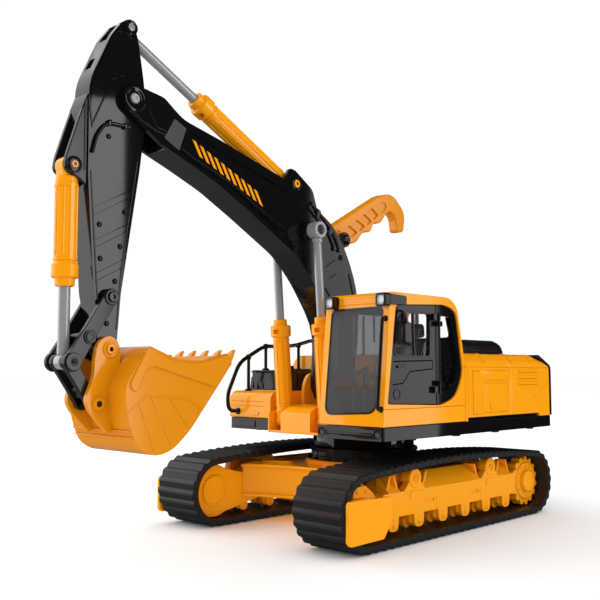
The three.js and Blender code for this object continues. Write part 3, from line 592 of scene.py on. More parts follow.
parts = [solid_of("rear_frame", 0.6)]
for y in (-60, -20, 20, 60):
    parts.append(block(-153.0, -151, y - 14, y + 14, 92, 120, 0.8))
    parts += [block(-153.9, -152.6, y - 12, y + 12, z, z + 1.8, 0.4) for z in (96, 101, 106, 111,
        116)]
for y in (-84, 89):
    parts += [block(-154, -151, y - 4, y + 4, z, z + 4.6, 0.8) for z in (92.5, 99)]
piece("tail_frame", "house", DARK, parts, "rear_frame")

parts = [solid_of("air_box", 0.6)]
parts += [block(x, x + 3.6, 27, 78, 147.4, 149.9, 0.9) for x in range(-86, -38, 6)]
parts += [block(-90, -40, 79.6, 80.5, 140.6, 144.8, 0.5), block(-36.6, -35.4, 30, 75, 140.5, 146.5,
    0.5)]
piece("air_cleaner", "house", DARK, parts, "air_box")

piece("centre_block", "house", ORANGE, [solid_of("boom_mount", 1.6, 4),
    *[disk(*BOOM_FOOT, 6.6, hand * 16.2, hand * 18.6, 0.6) for hand in (1, -1)],
    plate([(-7, 84), (34, 84), (34, 104, 8), (22, 116, 10), (2, 118, 12), (-7, 112, 4)], -34, -29,
    1.2, 3), plate([(-7, 84), (24, 84), (24, 100, 8), (14, 124, 10), (-2, 128, 8), (-7, 122, 3)],
    -40, -36.5, 1.2, 3), plate([(66, 88), (84, 88), (84.2, 90, 3), (78, 95, 8), (66, 97)], -15.4,
    15.4, 1.2, 3)], "boom_mount")
piece("boom_foot_axle", "house", DARK, [turned([(-18.6, 2.6), (-18, 4.4), (18, 4.4), (18.6, 2.6)],
    *BOOM_FOOT, sides=28)], "boom_foot_pin")

# ------------------------------------------------------------------ cab
CAB_OUT = [(97, 84, 1), (88.5, 172, 2), (87.7, 180.6, 5), (12, 180.6, 9), (1.5, 174, 9),
    (-8, 131, 10), (-8, 84)]
CAB_IN = [(93.6, 88), (85.3, 174.6, 3), (10, 175.5, 5), (4.5, 170, 5), (-5, 130), (-5, 88)]
DOOR_HOLE = [(81, 171.5, 4), (91.6, 100, 2), (26, 97.6, 4), (5, 103, 14), (-5.6, 122, 8),
    (3, 171, 16), (20, 174.8, 6)]
SCREEN = [(43.5, 169, 5), (92.5, 169.5, 5), (90.5, 94, 8), (42.5, 91.5, 8)]
DOOR_GLASS = [(39.5, 135, 3), (38.5, 166.5, 3), (77, 165.5, 4), (81.5, 135, 5)]
SIDE_GLASS = [(8.2, 112, 8), (26, 107, 3), (24.5, 166, 3), (9, 166, 8), (1.5, 128, 4)]
REAR_HOLE = [(48, 150.3, 3), (88.5, 150.3, 3), (87.5, 171, 5), (49, 171, 5)]
FAR_HOLE = [(14, 108, 4), (82, 108, 4), (77, 168, 4), (16, 168, 4)]
# Inner and outer face of the side frames, a span that cuts right through a side or the front,
# and the outer face of the cab wall
Y_IN, Y_OUT, THROUGH, CAB_FACE = 94.0, 97.0, (80, 110), 97.9


def grown(corners, amount):
    """The outline moved out from its middle by amount."""
    middle = sum((Vector(c[:2]) for c in corners), Vector((0, 0))) / len(corners)
    made = []
    for c in corners:
        out = Vector(c[:2]) - middle
        p = middle + out.normalized() * (out.length + amount)
        made.append((p.x, p.y, *c[2:]))
    return made


shell = boolean(plate(CAB_OUT, 37, CAB_FACE, 1.3, 3, 8), [plate(CAB_IN, 40, 94.9, 0),
    plate(DOOR_HOLE, 93, 103, 0, steps=10), prism(SCREEN, "X", *THROUGH, 0, steps=8),
    plate(FAR_HOLE, 34, 41, 0, steps=8), prism(REAR_HOLE, "X", -11, 12, 0, steps=8)])
shell = boolean(shell, groove([(95.2, 96.4), (-9, 96.4)], CAB_FACE, 1) + groove([(-8, 126.8),
    (-3, 126.8)], CAB_FACE, 1) + [block(40, 95, 97.6, 99, 83.9, 84.3, 0)])
roof_inset = boolean(prism([(51.5, 172.6, 1), (88.5, 172.2, 1), (88.5, 178, 1), (51.5, 178.6, 1)],
    "X", 86, 89.6, 0.5), [prism([(53, 173.8), (87, 173.4), (87, 176.8), (53, 177.4)], "X", 88.9, 92,
    0)])
seal = boolean(prism(grown(SCREEN, 0.9), "X", *THROUGH, 0, steps=8),
    [prism(grown(SCREEN, -0.6), "X", 70, 120, 0, steps=8)])
seal_slab = plate([(97.2, 84), (87.9, 180), (86.9, 180), (96.2, 84)], 30, 110, 0)
piece("cab_body", "house", ORANGE, [shell, roof_inset], "cab_shell")
lining = boolean(plate(CAB_IN, 40.2, 94.7, 0), [plate(grown(CAB_IN, -0.5), 40.7, 94.2, 0)])
lining_holes = [plate(grown(DOOR_HOLE, 0.6), 93, 103, 0, steps=10), prism(grown(SCREEN, 0.6), "X",
    *THROUGH, 0, steps=8), plate(FAR_HOLE, 34, 42, 0, steps=8), prism(REAR_HOLE, "X", -11, 12, 0,
    steps=8)]
piece("cab_lining", "house", BLACK, [boolean(lining, lining_holes)])
piece("windscreen_seal", "house", DARK, [boolean(seal, [seal_slab], "INTERSECT")])
piece("cab_far_pane", "house", CLEAR, [plate(FAR_HOLE, 37.8, 39, 0.1)])
piece("rear_window_post", "house", BLACK, [block(-4.4, -1.4, 54.4, 56.4, 149, 173, 0.4)])
pane_slab = plate([(96.6, 84), (87.3, 180), (85.9, 180), (95.2, 84)], 30, 110, 0)
# The windscreen's even grey veil is painted reflection, from its material.
piece("windscreen_pane", "house", SMOKE_AND_PAINTED_REFLECTION,
    [boolean(prism(grown(SCREEN, -0.4), "X", 70, 110, 0, steps=8), [pane_slab], "INTERSECT")],
    "windscreen")


def framed(frame_part, glass, *bars):
    """Window frame with a raised rim round its glass."""
    rim = boolean(plate(grown(glass, 2.2), Y_OUT - 0.5, Y_OUT + 0.6, 0.25, 2, 8),
        [plate(grown(glass, 0.2), *THROUGH, 0, steps=8)])
    return [boolean(frame_part, [plate(glass, *THROUGH, 0, steps=8)]), rim, *bars]


HINGE_X, HINGE_Y = 30.2, 99.4
panel = plate(grown(DOOR_HOLE, -0.6), Y_IN, Y_OUT, 0.4, 2, 10)
door = boolean(panel.copy(), [block(-30, HINGE_X + 0.8, *THROUGH, 60, 200, 0)])
fixed = boolean(panel, [block(HINGE_X - 0.4, 120, *THROUGH, 60, 200, 0)])
door = boolean(door, groove([(83.4, 130.3), (35.1, 131.6), (35.1, 125.2), (63.5, 123.2),
    (72.4, 114.7), (84.4, 113.6)], Y_OUT, 1, 0.9, 1.0))


def knuckle(z0, z1, lean_to):
    """A hinge barrel with its leaf, which reaches lean_to along X."""
    leaf = block(HINGE_X + min(lean_to, 0), HINGE_X + max(lean_to, 0), Y_OUT - 0.5, HINGE_Y + 0.6,
        z0, z1, 0.3)
    barrel = lathe([(z0, 1.4), (z0 + 0.4, 1.8), (z1 - 0.4, 1.8), (z1, 1.4)], "Z",
        (HINGE_X, HINGE_Y, 0), 20)
    return [leaf, barrel]


parts = framed(door, DOOR_GLASS, plate([(55.2, 134.6), (57.4, 134.6), (58.8, 166.4), (56.6, 166.4)],
    Y_IN + 0.4, Y_OUT - 0.3, 0.3))
parts += [*knuckle(161.8, 167, 6), *knuckle(107, 112, 6)]
parts += [turned([(96.9, 4.4), (97.5, 4.2), (97.5, 3.2), (97.1, 2.8), (97.1, 0.4)], 79.4, 107),
    *rail([(79, 126.6), (70, 127.2)], Y_OUT, 1, 2.2, 1.1),
    *[block(36.4, 38.4, Y_OUT - 0.2, Y_OUT + 0.5, z, z + 1.2, 0.3) for z in (148, 152)]]
piece("door_panel", "door", BLACK, parts, "cab_door")
piece("door_pane", "door", CLEAR, [plate(grown(DOOR_GLASS, -0.3), Y_IN + 0.8, Y_IN + 1.9, 0.1, 1,
    8)], "door_window")
piece("fixed_side_frame", "house", BLACK, framed(fixed, SIDE_GLASS) + knuckle(157.5, 161.5,
    -5) + knuckle(112.3, 116.3, -5), "cab_side_frame")
piece("fixed_side_pane", "house", CLEAR, [plate(grown(SIDE_GLASS, -0.3), Y_IN + 0.8, Y_IN + 1.9,
    0.1, 1, 8)], "cab_side_window")
parts = [tube([(79.4, 97.2, 167.2), (78, 101.3, 166.6), (74.4, 101.8, 163), (73.4, 101.9, 152)],
    0.95, 12), plate([(68.4, 143.2, 2.5), (77.4, 143.6, 2.5), (78, 158.4, 2.5), (69.4, 159.2, 2.5)],
    100.7, 103.3, 0.9, 3), turned([(96.6, 2.4), (97.6, 2.4), (98.3, 1.6)], 79.4, 167.2, sides=24)]
piece("mirror_housing", "door", BLACK, parts, "door_mirror")

parts = [plate([(14, 104, 2), (20, 97, 3), (56, 96, 4), (60, 104, 5), (56, 110, 4), (30, 108, 5)],
    53, 85, 2.4, 3), plate([(13, 106, 3), (29, 108, 4), (29.6, 146, 5), (18, 150, 5)], 54, 84, 2.6,
    3), plate([(17, 150, 3), (27, 149, 3), (26, 160, 4), (18, 161, 4)], 60, 78, 2, 3),
    block(22, 50, 58, 80, 88.3, 97, 1),
    *[plate([(24, 118), (52, 118, 3), (52, 122, 2), (24, 122, 2)], y, y + 4, 1) for y in (49.5,
    84.4)], *[plate(rect(29, 30.6, z, z + 1.4), 57, 81, 0.3) for z in (118, 127, 136)]]
piece("driver_seat", "house", DARK, parts, "seat")
stand = [solid_of("control_stand", 0.5), block(84, 86, 44, 90, 108, 112, 0.8),
    *[tube([(84, y, 96), (80, y, 120), (66, y, 126)], 1.3) for y in (58, 80)],
    *[tube([(87, y, 92), (86, y, 108)], 1.2) for y in (50, 68)],
    *[tube([(83, y, 92), (82, y, 106)], 1.0) for y in (54, 62, 72, 84)], block(74, 86, 43, 90, 88.4,
    91, 0.6)]
piece("control_column", "house", DARK, stand, "control_stand")
rod_path = [(89.4, 95.3, 161), (93.6, 95.3, 161), (99.8, 95.3, 96.6), (95.6, 95.3, 96.6)]
# Thin bars just behind the windscreen, shaped like the interior levers, drawn bright white as painted
# light bars that show through the smoked glass.
light_bar_blocks = [block(86, 87.2, y - 0.7, y + 0.7, z0, z1, 0.2) for y, z0, z1 in ((62.8, 91.2, 110.6),
    (73, 91.4, 110.8), (63.9, 115, 125), (74.8, 115, 125), (83.2, 112, 125), (62.9, 134, 164),
    (82.4, 144, 165))]
light_bar_blocks += [block(86, 86.8, y0, y1, 114, 115, 0.2) for y0, y1 in ((40.6, 46.9), (53.5, 60), (64.5, 68),
    (75, 83.4))]
light_bar_blocks += [block(86, 86.8, 71.2, 73.4, 136, 164, 0.3), block(86, 86.8, 69, 73, 134.4, 136.2, 0.3)]
piece("console_painted_light_bars", "house", BRIGHT, light_bar_blocks)
piece("grab_handle", "house", BLACK, [tube(rod_path, 1.35, 14, 3),
    lathe([(89.2, 2.2), (90.6, 2.2), (91, 1.6)], "X", (0, 95.3, 161), 24),
    lathe([(95.2, 2.2), (96.6, 2.2), (97, 1.6)], "X", (0, 95.3, 96.6), 24)], "grab_rod")
LAMP_Z = 169.6, 179.2
for label, y0, y1 in (("left", 90.4, 99.4), ("right", 41.5, 50.5)):
    z0, z1 = LAMP_Z
    body = boolean(prism(rect(y0, y1, z0, z1, 1.8), "X", 88.6, 95.5, 0.7),
        [prism(rect(y0 + 1.3, y1 - 1.3, z0 + 1.3, z1 - 1.3, 1), "X", 92.6, 98, 0)])
    if label == "left":
        foot = plate([(70, 171.4, 1), (90, 170.8), (90, 178.8), (70, 178, 1)], 97.6, 99.8, 0.6)
    else:
        foot = block(84, 90, 38.2, 42, 170.8, 175, 0.5)
    piece(f"{label}_lamp_housing", "house", BLACK, [body, foot], f"{label}_work_light")
    middle = ((y0 + y1) / 2, (z0 + z1) / 2)
    piece(f"{label}_lamp_reflector", "house", BRIGHT,
        [lathe([(92.7, 0.8), (92.8, 1.4), (93.4, 2.2), (94.2, 2.5), (94.2, 2.7), (92.4, 2.7)], "X",
        (0, *middle), 28), block(92.3, 93.0, y0 + 1.4, y1 - 1.4, z0 + 1.4, z1 - 1.4, 0.2),
        *[block(93.0, 94.2, middle[0] + a - 0.3, middle[0] + a + 0.3, z0 + 1.6, z1 - 1.6, 0.1)
        for a in (-3, 3)]])
    piece(f"{label}_lamp_lens", "house", LENS,
        [prism(rect(y0 + 1.5, y1 - 1.5, z0 + 1.5, z1 - 1.5, 0.8), "X", 94.5, 95.2, 0.15)],
        f"{label}_light_lens")

# ------------------------------------------------------------------ right deck
chest = solid_of("toolbox", 0.9, 3)
CHEST_FRONT = max(v.co.x for v in chest.verts)
grooves = [block(CHEST_FRONT - 0.6, 76, -90, -50, z, z + 0.5, 0) for z in (101.2, 97.4, 93.6)]
for x in (8, 40):
    grooves += groove([(x, 84), (x, 105)], CHEST_FACE, -1)
for x0, x1 in ((-4, 4), (12, 36)):
    grooves += groove(ring_of(x0, x1, 88, 102), CHEST_FACE, -1)
grooves += [block(-7, 62, -60.4, -60, 105.6, 108, 0)]
parts = [boolean(chest, grooves), block(CHEST_FRONT - 0.4, CHEST_FRONT + 0.8, -64, -56, 86.2, 89,
    0.4), *[block(44 + 4 * k, 46 + 4 * k, -89, -47, 105.9, 107.0, 0.4) for k in range(4)],
    *rail([(46, 97), (66, 97)], CHEST_FACE, -1, 2, 0.8), *rail([(24, 93), (24, 99)], CHEST_FACE, -1,
    2, 0.8)]
piece("tool_chest", "house", ORANGE, parts, "toolbox")

tank = solid_of("tank_box", 0.8, 3)
recesses = [block(51.4, 56, y0, y1, 108.6, 122.4, 0) for y0, y1 in ((-83.6, -79.6), (-78, -72.9),
    (-71, -60.6))]
recesses += [block(x, x + wide, y0, y0 + deep, 109.5, 121.5, 0) for wide, y0,
    deep in ((6, -90, 4.2), (5, -53.2, 4.2)) for x in range(0, 46, 9)]
parts = [boolean(tank, recesses), lathe([(124, 7), (125.2, 7), (125.6, 5.8), (127.6, 5.6),
    (128.2, 4.8)], "Z", (30, -62, 0), 32), *[block(x, x + 4, -74, -58, 124.2, 125.6, 0.5)
    for x in (16, 4)], *[block(52.2, 53.6, -84.6, -56, z, z + 0.9, 0.3) for z in (107, 123)]]
piece("tank_housing", "house", DARK, parts, "tank_box")

RAIL_Y = -82
rail_line = [(71.6, 89), (82, 90), (83.6, 103), (70, 131), (39, 146.4), (22, 145.4), (0, 147.4),
    (-27, 153.6), (-31, 138.2)]
parts = [tube([(x, RAIL_Y, z) for x, z in rail_line], 1.7, 16, 8)]
for x, z0, z1 in ((59, 106.4, 136.4), (38, 124.5, 146.2), (-4.5, 124.5, 148)):
    parts += [tube([(x, RAIL_Y, z0), (x, RAIL_Y, z1)], 1.45, 14),
        lathe([(z0 - 0.2, 3.2), (z0 + 1, 3.2), (z0 + 1.5, 2.4)], "Z", (x, RAIL_Y, 0), 24),
        lathe([(z1 - 2.6, 1.9), (z1 - 2, 2.3), (z1 + 1.2, 2.3), (z1 + 1.8, 1.8)], "Z",
        (x, RAIL_Y, 0), 20)]
parts += [lathe([(70.4, 3), (71.7, 3), (72.2, 2.2)], "X", (0, RAIL_Y, 89), 24)]
piece("deck_handrail", "house", BLACK, parts, "handrail")

# ------------------------------------------------------------------ boom
boom_body = solid_of("boom_shell", 1.0, 3)
BOOM_LINES = ([(224.8, 281.7), (200.7, 269.8), (173.6, 260.6), (156.2, 253.5), (141.8, 244.9),
    (103.8, 227.8)], [(204.2, 290.6), (176.3, 282.2), (138.3, 271), (114.7, 264.8), (103.9, 262)],
    [(135.2, 241), (123.2, 234.8), (105.7, 224.8), (88.5, 211.9), (77.7, 200)],
    [(62, 207.6), (50.8, 214.3)], [(57.9, 198.5), (49.4, 203)])
side_cuts = []
for hand in (1, -1):
    for line in BOOM_LINES:
        side_cuts += groove(line, BOOM_FACE, hand)
    for x, z in ((101.9, 223.4), (97.4, 219.8), (93.4, 216.2), (89, 212.8), (84.6, 208.6),
            (80.6, 203.6)):
        side_cuts.append(disk(x, z + 1.2, 1.1, hand * (BOOM_FACE - 0.8), hand * 14, 0, 12))
parts = [boolean(boom_body, side_cuts)]
panel_line = [(203.5, 288.2, 2), (176.3, 279.8, 2), (114.7, 262.4, 2), (104.5, 259.5, 3),
    (105, 231, 3), (141.8, 247.4, 3), (156.2, 256), (173.6, 263), (200.7, 272.4, 2),
    (211, 277.3, 3)]
strap_line = [(216.7, 296.3, 1), (206.4, 291.4, 1), (212.4, 274.6, 1), (225.4, 281.2, 1)]
tip_line = [(258.4, 301.6, 6), (256.6, 309.6, 6), (247.9, 312, 4), (226, 308.6, 2),
    (215.4, 300.4, 1), (222.6, 282.6, 1), (232, 284.4, 2), (243.6, 288.6, 3), (255.4, 297, 5)]
inner_tip = [(240, 299.8, 2), (234.7, 304.4, 3), (227.4, 303.4, 2), (218.8, 298.6, 1),
    (223.6, 285.4, 1), (231.6, 286.6, 3)]
for hand in (1, -1):
    y = hand * BOOM_FACE
    parts += [plate(panel_line, y - hand * 0.3, y + hand * 0.45, 0.3, 2, 6),
        plate(tip_line, y - hand * 0.3, y + hand * 0.7, 0.45, 2, 8),
        plate(inner_tip, y + hand * 0.3, y + hand * 1.2, 0.4, 2, 6),
        turned(((0, 9.2), (1.0, 9.0), (1.5, 8.2), (1.5, 6.6), (1.0, 6.0), (1.0, 4.9)), *BOOM_TIP,
        hand, y, 44), turned(((0, 5.4), (0.9, 5.2), (1.1, 4.6), (1.1, 3.6), (0.9, 3.4)),
        *ARM_CYL_FOOT, hand, y), turned(((6.2, 6.4), (9.6, 6.2), (10.2, 5.4), (10.2, 3.6),
        (9.4, 3.2), (9.4, 0.4)), 33.6, 233.6, hand), bolt(43.6, 216.9, y, hand, 2.0, 1.2),
        turned(((0, 8.2), (0.8, 8.0), (1.2, 7.2), (1.2, 0.5)), *BOOM_FOOT, hand, y, 36)]
    for line in ([(48, 150), (50.6, 176), (62, 190)], [(24.6, 152), (25.4, 180), (33, 204)]):
        parts += rail(line, y, hand, 1.2, 0.7)
    pipe_y = hand * 13.0
    for line in ([(82.3, 253.7), (74.3, 247.4), (68.8, 243.4), (57.7, 234.3), (52.1, 223.7)],
            [(79, 256.8), (68.8, 250.1), (57.7, 241.1), (50.1, 232.3), (45.8, 223.1)]):
        parts.append(tube([(x, pipe_y, z) for x, z in line], 1.2, 12))
        parts += [disk(*line[k], 1.9, hand * 12.2, hand * 14.4, 0.3, 20) for k in (0, 4)]
    parts += [plate([(x - 2, z - 4.6), (x + 2.6, z - 2.6), (x - 1, z + 4.2), (x - 5.4, z + 2.2)],
        hand * 12.2, hand * 14.3, 0.4) for x, z in ((74, 250), (58.6, 238))]
piece("boom_body", "boom", BLACK, parts, "boom_shell")
STRIPE_X = 133
for label, hand in BOTH:
    y = hand * (BOOM_FACE + 0.35)
    piece(f"{label}_boom_strap", "boom", STRAP, [plate(strap_line, y, y + hand * 0.45, 0.2, 2, 4)])
    stripes = []
    for k in range(10):
        x = STRIPE_X + 6.5 * k
        z0 = 247 + 0.44 * (x - STRIPE_X)
        stripes.append(plate([(x, z0), (x + 3.2, z0 + 1.2), (x + 9.6, z0 + 12.2),
            (x + 6.4, z0 + 11)], y + hand * 0.2, y + hand * 0.65, 0.12, 1))
    piece(f"{label}_boom_stripes", "boom", ORANGE, stripes)
    steps = [(13.0, 7.8), (15.2, 7.8), (15.6, 7.3), (15.6, 6.2), (16.4, 6.0), (16.9, 5.4),
        (16.9, 2.4), (26.4, 2.3), (26.8, 1.9), (26.8, 1.2), (26.3, 1.0), (26.3, 0.3)]
    piece(f"{label}_lift_trunnion", "boom", BLACK, [turned(steps, *LIFT_EYE, hand, sides=40)],
        f"{label}_lift_boss")

pin = [(-14.4, 1.6), (-14.4, 2.7), (-13.9, 3.3), (-12.6, 4.1), (12.6, 4.1), (13.9, 3.3),
    (14.4, 2.7), (14.4, 1.6), (13.8, 1.3), (13.8, 0.3)]
piece("boom_tip_axle", "boom", SILVER, [turned(pin, *BOOM_TIP, sides=36)], "arm_pivot_pin")
pin = [(-13.9, 1.4), (-13.9, 2.4), (-13.4, 3.1), (13.4, 3.1), (13.9, 2.4), (13.9, 1.4), (13.3, 1.2),
    (13.3, 0.3)]
piece("arm_cylinder_axle", "boom", ORANGE, [turned(pin, *ARM_CYL_FOOT)], "arm_cylinder_pin")

grip = [(46.8, 243.2), (40, 246.5, 4), (-22.5, 281.7, 9), (-39, 284, 13), (-57, 269, 13),
    (-54, 251, 3), (-45, 250, 3), (-42.5, 264, 8), (-34, 268.5, 5), (-26, 262, 4), (-21, 255, 5),
    (-10, 254, 5), (-6.8, 245.5, 5), (5, 244, 5), (12, 234.5, 5), (24, 231, 4), (33.6, 223)]
grip_body = plate(grip, -5, 5, 1.4, 4, 10)
ribs = [(31.5, 241.6, 20.9, 235.8), (21.5, 248.5, 9.9, 242.4), (11.2, 254.7, -0.6, 249.1),
    (1.4, 261.4, -9.9, 254.8), (-9.3, 267.9, -19.3, 261.5)]
pockets = []
for hand in (1, -1):
    for (x0, z0, x1, z1), (x2, z2, x3, z3) in zip(ribs, ribs[1:]):
        corners = [(x0 - 1.6, z0 + 0.6, 2), (x1 - 1.2, z1 + 1.6, 2), (x3 + 2.2, z3 + 0.4, 2),
            (x2 + 1.4, z2 - 0.6, 2)]
        pockets.append(plate(corners, hand * 3.4, hand * 8, 0, 1, 4))
    pockets.append(plate([(-12.5, 268.4, 2), (-21.2, 263.6, 2), (-26.8, 267, 3), (-29.5, 273, 3),
        (-22.5, 275.2, 3)], hand * 4, hand * 8, 0, 1, 4))
    pockets.append(plate([(40, 242.6, 2), (33.6, 240.4, 2), (24.4, 235.4, 2), (32.4, 229.4, 2)],
        hand * 4, hand * 8, 0, 1, 4))
# The carry handle takes the darker orange copy, painted shade.
piece("carry_handle", "boom", PAINTED_SHADE_ORANGE, [boolean(grip_body, pockets), disk(33.6, 235, 6, -6.5, 6.5,
    0.6)], "boom_handle")


# ------------------------------------------------------------------ cylinders
def along(bm, foot, eye, y=0):
    """Moves a cylinder drawn up local Z to stand from foot towards eye."""
    turn = math.atan2(eye[0] - foot[0], eye[1] - foot[1])
    bm.transform(Matrix.Translation((foot[0], y, foot[1])) @ Matrix.Rotation(turn, 4, "Y"))
    return bm


def barrel(radius, head, length, lug, foot, eye, y=0):
    """A ribbed cylinder barrel with a lug at its foot and a gland at its head."""
    body = [(6, radius * 0.7), (7, radius * 0.94), (9, radius), (length - 15, radius),
        (length - 14.6, radius + 0.5), (length - 14, head - 0.5), (length - 13.4, head),
        (length - 6, head), (length - 5.2, head - 0.7), (length - 4.8, radius * 0.9),
        (length - 0.6, radius * 0.86), (length, radius * 0.76), (length, radius * 0.58),
        (length - 5, radius * 0.56)]
    parts = [lathe(body, "Z", ORIGIN, 40), disk(0, 0, radius * 0.9, -lug, lug, 0.7, 36),
        block(-radius * 0.78, radius * 0.78, -lug, lug, 0, 8.6, 0.8)]
    for hand in (1, -1):
        parts.append(lathe([(hand * (lug - 0.3), 3.8), (hand * (lug + 0.4), 3.6),
            (hand * (lug + 0.7), 3.0), (hand * (lug + 0.7), 1.9), (hand * (lug + 0.3), 1.6),
            (hand * (lug + 0.3), 0.3)], "Y", ORIGIN, 28))
        parts.append(block(-1.5, 1.5, hand * (radius - 0.5), hand * (radius + 0.55), 11,
            length - 17, 0.35))
        parts += [block(radius * a - 0.5, radius * a + 0.5, hand * radius * b,
            hand * (radius * b + 0.45), 13, length - 19, 0.2) for a,
            b in ((0.64, 0.76), (-0.64, 0.76))]
    parts += [block(*sorted((end * (radius - 0.4), end * (radius + 0.5))), -0.9, 0.9, 13,
        length - 19, 0.2) for end in (1, -1)]
    for z in (11.5, length - 18):
        parts.append(lathe([(z, radius), (z + 0.3, radius + 0.5), (z + 1.8, radius + 0.5),
            (z + 2.1, radius)], "Z", ORIGIN, 40))
    notch = [block(head * 0.6, head + 2, -0.6, 4.6, length - 11.6, length - 8.2, 0)]
    parts[0] = boolean(parts[0], notch)
    return [along(p, foot, eye, y) for p in parts]


def rod(radius, start, foot, eye, ring, half, bore, y=0):
    """A piston rod with a collar and an eye at its end."""
    reach = math.hypot(eye[0] - foot[0], eye[1] - foot[1])
    parts = [lathe([(start, radius - 0.5), (start + 0.5, radius), (reach - ring + 0.6, radius)],
        "Z", ORIGIN, 36)]
    wide = min(radius + 0.8, half + 0.2)
    collar = [(reach - ring - 3.4, radius), (reach - ring - 3, wide), (reach - ring - 0.6, wide),
        (reach - ring + 0.4, radius)]
    parts.append(lathe(collar, "Z", ORIGIN, 36))
    eye_ring = disk(0, reach, ring, -half, half, 0.7, 40)
    if bore:
        eye_ring = boolean(eye_ring, [disk(0, reach, bore, -half - 2, half + 2, 0, 36)])
    parts.append(eye_ring)
    return [along(p, foot, eye, y) for p in parts]


for label, hand in BOTH:
    y = hand * LIFT_CYL_Y
    piece(f"{label}_lift_tube", f"{label}_lift_barrel", ORANGE, barrel(6.2, 8.2, 82, 5.4, LIFT_FOOT,
        LIFT_EYE, y), f"{label}_lift_barrel")
    piece(f"{label}_lift_piston", f"{label}_lift_rod", SILVER, rod(3.4, 39.5, LIFT_FOOT, LIFT_EYE,
        6.6, 5, 4.1, y), f"{label}_lift_rod")
piece("arm_tube", "arm_cylinder_barrel", ORANGE, barrel(7.2, 8.6, 106, 5.2, ARM_CYL_FOOT, ARM_EYE),
    "arm_cylinder_barrel")
piece("arm_piston", "arm_cylinder_rod", SILVER, rod(3.5, 40.5, ARM_CYL_FOOT, ARM_EYE, 5, 3.6, 0),
    "arm_cylinder_rod")
piece("bucket_tube", "bucket_cylinder_barrel", ORANGE, barrel(7, 8.4, 76, 4.6, BUCKET_CYL_FOOT,
    LINK_TOP), "bucket_cylinder_barrel")
piece("bucket_piston", "bucket_cylinder_rod", SILVER, rod(3.7, 47.5, BUCKET_CYL_FOOT, LINK_TOP, 5,
    3.6, 0), "bucket_cylinder_rod")

# ------------------------------------------------------------------ arm
arm_body = solid_of("arm_shell", 0.9, 3)
cuts, parts = [], []
for hand in (1, -1):
    for x0, z0, x1, z1 in ((274.9, 227.7, 248.4, 242.0), (276.4, 222.2, 251.7, 235.6),
            (275.1, 206.2, 248.9, 220.1), (274.9, 201.3, 251.3, 214.5), (273.6, 185.2, 252.9,
            196.2), (273.1, 180.4, 253.8, 190.7)):
        cuts += groove([(x0, z0), (x1, z1)], ARM_FACE, hand)
rim = [(265.9, 341), (261.2, 346.1), (254.3, 347.5), (248.5, 343.7), (245.6, 337.8), (242.9, 329.3)]
edge = [(256.2, 353.2), (265, 340), (273, 320.4), (279.6, 303), (280.2, 289.4), (278.4, 278.4)]
slot = [(274.5 + 0.41 * u + 0.912 * v, 323 - 0.912 * u + 0.41 * v) for u,
    v in ((-4.2, -3), (4.2, -3), (4.2, 4), (-4.2, 4))]
parts.append(boolean(arm_body, cuts + [plate(slot, -5.5, 1.5, 0)]))
for hand in (1, -1):
    y = hand * ARM_FACE
    parts += rail(edge, y, hand, 1.0, 0.55)
    parts += rail([(243.8, 321.5), (257.8, 316.6), (264, 313.2), (273.2, 292.6), (278.4, 280.2)], y,
        hand, 1.0, 0.6)
    parts += rail(rim, y, hand, 0.9, 0.5)
    parts.append(turned(((0, 5.2), (0.8, 5.0), (1.1, 4.4), (1.1, 3.0), (0.6, 2.7), (0.6, 0.3)),
        *EYE_PIN, hand, y))
    for x, z in ((266.1, 274.6), (253, 226.8), (271.8, 216.4), (256, 203.8), (270.6, 194.6),
            (259.4, 180.9), (265, 153.6)):
        parts.append(bolt(x, z, y, hand, 1.5, 0.9))
    hose = [(250.5, 283.7), (255.7, 283.7), (268.7, 283.2), (275.7, 273.5), (278.4, 262)]
    parts.append(tube([(x, y + hand * 0.8, z) for x, z in hose], 1.25, 12))
    for x, z in ((254, 283.7), (266.4, 283.3)):
        parts.append(block(x - 1.2, x + 1.2, y - hand * 0.2, y + hand * 2.5, z - 1.9, z + 1.9, 0.4))
    parts += [turned(((0, 7), (0.2, 6.8), (0.3, 6.2)), *BUCKET_PIN, hand, y, 36)]
    for line in ([(243.4, 262), (254.8, 189), (257.8, 150)], [(278.8, 250), (273.6, 186),
            (271.4, 160)]):
        parts += rail(line, y, hand, 0.8, 0.4)
piece("arm_body", "arm", BLACK, parts, "arm_shell")

eye_pin = [(-10, 1.2), (-10, 2.0), (-9.7, 2.5), (9.7, 2.5), (10, 2.0), (10, 1.2), (9.5, 1.0),
    (9.5, 0.3)]
piece("arm_eye_axle", "arm", SILVER, [turned(eye_pin, *EYE_PIN, sides=28)])

ear = [(281.6, 300), (281.4, 240), (285, 243, 2), (290, 245.6, 3), (297, 249, 5), (296, 257, 6),
    (288, 282, 12)]
bracket = [plate(ear, hand * 5, hand * 8.2, 0.6, 3, 8) for hand in (1, -1)]
bracket += [plate([(281.6, 300), (281.5, 270), (284.5, 274), (285.5, 290)], -8, 8, 0.6)]
for hand in (1, -1):
    bracket.append(lathe([(hand * (8.2 + a), r) for a, r in ((-0.2, 5.4), (0.8, 5.2), (1.2, 4.6),
        (1.2, 2.4))], "Y", (BUCKET_CYL_FOOT[0], 0, BUCKET_CYL_FOOT[1]), 32))
    bracket += rail([(283.4, 292), (283.2, 250)], hand * 8.2, hand, 1.0, 0.5)
piece("bracket_cheeks", "arm", DARK, bracket, "bucket_cylinder_bracket")


def pin_with_cup(x, z, reach, radius):
    """A pin right across, with a small socket in each end."""
    cup = [(-reach, radius * 0.55), (-reach, radius * 0.9), (-reach + 0.5, radius),
        (reach - 0.5, radius), (reach, radius * 0.9), (reach, radius * 0.55),
        (reach - 1.2, radius * 0.5), (reach - 1.2, 0.3)]
    return turned(cup, x, z)


